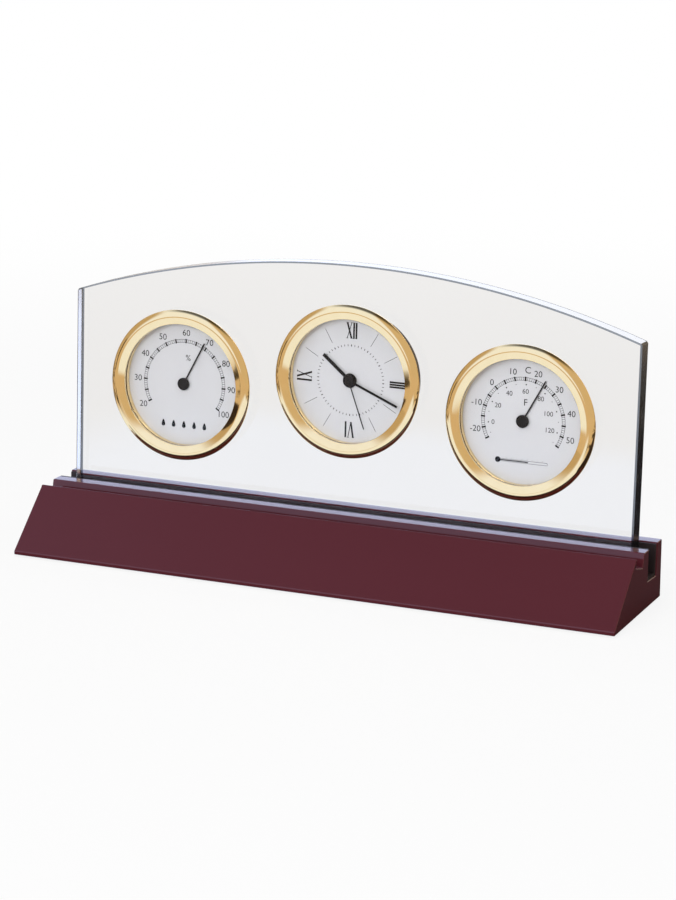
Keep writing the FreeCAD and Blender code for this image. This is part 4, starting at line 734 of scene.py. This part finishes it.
# Painted shade in that reflection: beside the object, from a little in front of it on back, the floor's shine
# breaks into dark and bright stripes.
painted_reflection_stripes = start.node("ShaderNodeTexNoise", None, {"Vector": spread, "Scale": 9.0, "Detail": 1.0})
painted_reflection_stripes = step(start, painted_reflection_stripes, 0.47, 0.51, 0.1, 1.0)
painted_shade_beside = beside * step(start, y, -0.24, -0.2)
lit = Value(tree, tree.nodes["Principled BSDF"].outputs[0])
white = start.node("ShaderNodeEmission", None, {0: WHITE, 1: 1.0})
painted_reflection_strength = 1 - painted_shade_beside + painted_shade_beside * painted_reflection_stripes
# The floor's painted reflection, an emission that only polish sees.
shade = start.node("ShaderNodeEmission", None, {0: away.blend(FLOOR_REFLECTION_COOL, FLOOR_REFLECTION_WARM), 1: painted_reflection_strength})
seen = eye * step(start, reach, 0.25, 0.9, 0.85, 1.0)
bright = start.node("ShaderNodeMixShader", None, {0: seen, 1: lit, 2: white})
ground = start.node("ShaderNodeMixShader", None, {0: polish, 1: bright, 2: shade})
tree.links.new(ground.socket, tree.nodes["Material Output"].inputs[0])

world = bpy.data.worlds.new("surround")
bpy.context.scene.world = world
world.use_nodes = True
start = Value(world.node_tree)
background = world.node_tree.nodes["Background"]
polish, eye = looks(start)
looking = start.node("ShaderNodeTexCoord", output=0)
x, y, z = (start.node("ShaderNodeSeparateXYZ", None, {0: looking}, axis) for axis in "XYZ")
# Painted reflection: polish sees the sky darkened above to a painted dark zenith and brighter towards the
# back, cool in one broad band and warm, darker to either side of it; diffuse rays get an even ambient, and
# the eye sees white.
painted_sky_level = step(start, z, 0.72, 0.94, 1.0, 0.12) * step(start, y, 0.3, 0.8, 1.0, 1.35)
side = step(start, start.maths("ABSOLUTE", x - SKY_MIDDLE), *SKY_HALF)
warm = step(start, x, -0.6, -0.4).blend(SKY_REFLECTION_WARM_LEFT, SKY_REFLECTION_WARM)
(polish * side).blend(polish.blend(WHITE, SKY_REFLECTION_COOL), warm).feed(background, "Color")
(AMBIENT + (1 - AMBIENT) * eye + polish * (painted_sky_level - AMBIENT)).feed(background, "Strength")


# Lamps and flags. Two soft lamps light the object from above and from the front and aren't
# mirrored, and dark flags, which only polish sees, are painted dark reflections where a room would darken it.

def lamp(name, middle, size, power, target=(0, 0, 0.08)):
    """A soft square lamp that faces its target and isn't mirrored in polish."""
    light = bpy.data.lights.new(name, "AREA")
    light.shape, light.size, light.energy = "SQUARE", size, power
    obj = bpy.data.objects.new(name, light)
    bpy.context.scene.collection.objects.link(obj)
    obj.location, obj.visible_glossy = middle, False
    obj.rotation_euler = (Vector(target) - Vector(middle)).to_track_quat("-Z", "Y").to_euler()


lamp("lamp_over", (0, -0.45, 1.5), size=1.2, power=8.5)
lamp("lamp_front", (0.1, -1.9, 0.8), size=0.9, power=14)

black_reflection_flag = finish_of("black_reflection_flag", (0.02, 0.01, 0.008, 1), (0.03, 0.016, 0.012, 1), grain=0.1,
                       roughness=0.9, change=0.02)
for name, middle, width, depth, lean in (("flag_right", (0.303, 0.12, 0.001), 0.326, 0.4, 0),
                                         ("flag_front", (0, -0.0415, 0.001), 0.4, 0.02, 0),
                                         ("flag_left", (-0.75, -0.35, 0.1), 0.2, 0.16, 90)):
    bpy.ops.object.select_all(action="DESELECT")
    bpy.ops.mesh.primitive_plane_add(size=1)
    flag = bpy.context.object
    flag.name, flag.location, flag.scale = name, middle, (width, depth, 1)
    flag.rotation_euler = (0, math.radians(lean), 0)
    flag.data.materials.append(black_reflection_flag)
    flag.visible_camera = flag.visible_diffuse = flag.visible_transmission = flag.visible_shadow = False


# The camera, at the photograph's angle. Its place, its turn about the three axes and its lens were
# fitted to the bezels, the glass and the base.

EYE, LENS, SENSOR = (0.537376, -1.236337, 0.41583), 125.164, 36
YAW, PITCH, ROLL = math.radians(23.368), math.radians(14.825), math.radians(-0.372)

camera = bpy.data.objects.new("camera", bpy.data.cameras.new("camera"))
bpy.context.scene.collection.objects.link(camera)
camera.data.lens, camera.data.sensor_width, camera.data.sensor_fit = LENS, SENSOR, "AUTO"
ahead = Vector((-math.sin(YAW) * math.cos(PITCH), math.cos(YAW) * math.cos(PITCH), -math.sin(PITCH)))
level = Vector((math.cos(YAW), math.sin(YAW), 0))
plumb = ahead.cross(level)
right = math.cos(ROLL) * level + math.sin(ROLL) * plumb
down = -math.sin(ROLL) * level + math.cos(ROLL) * plumb
axes = Matrix((right, -down, -ahead)).transposed().to_4x4()
camera.matrix_world = Matrix.Translation(EYE) @ axes
bpy.context.scene.camera = camera
bpy.context.scene.view_settings.view_transform = "Standard"
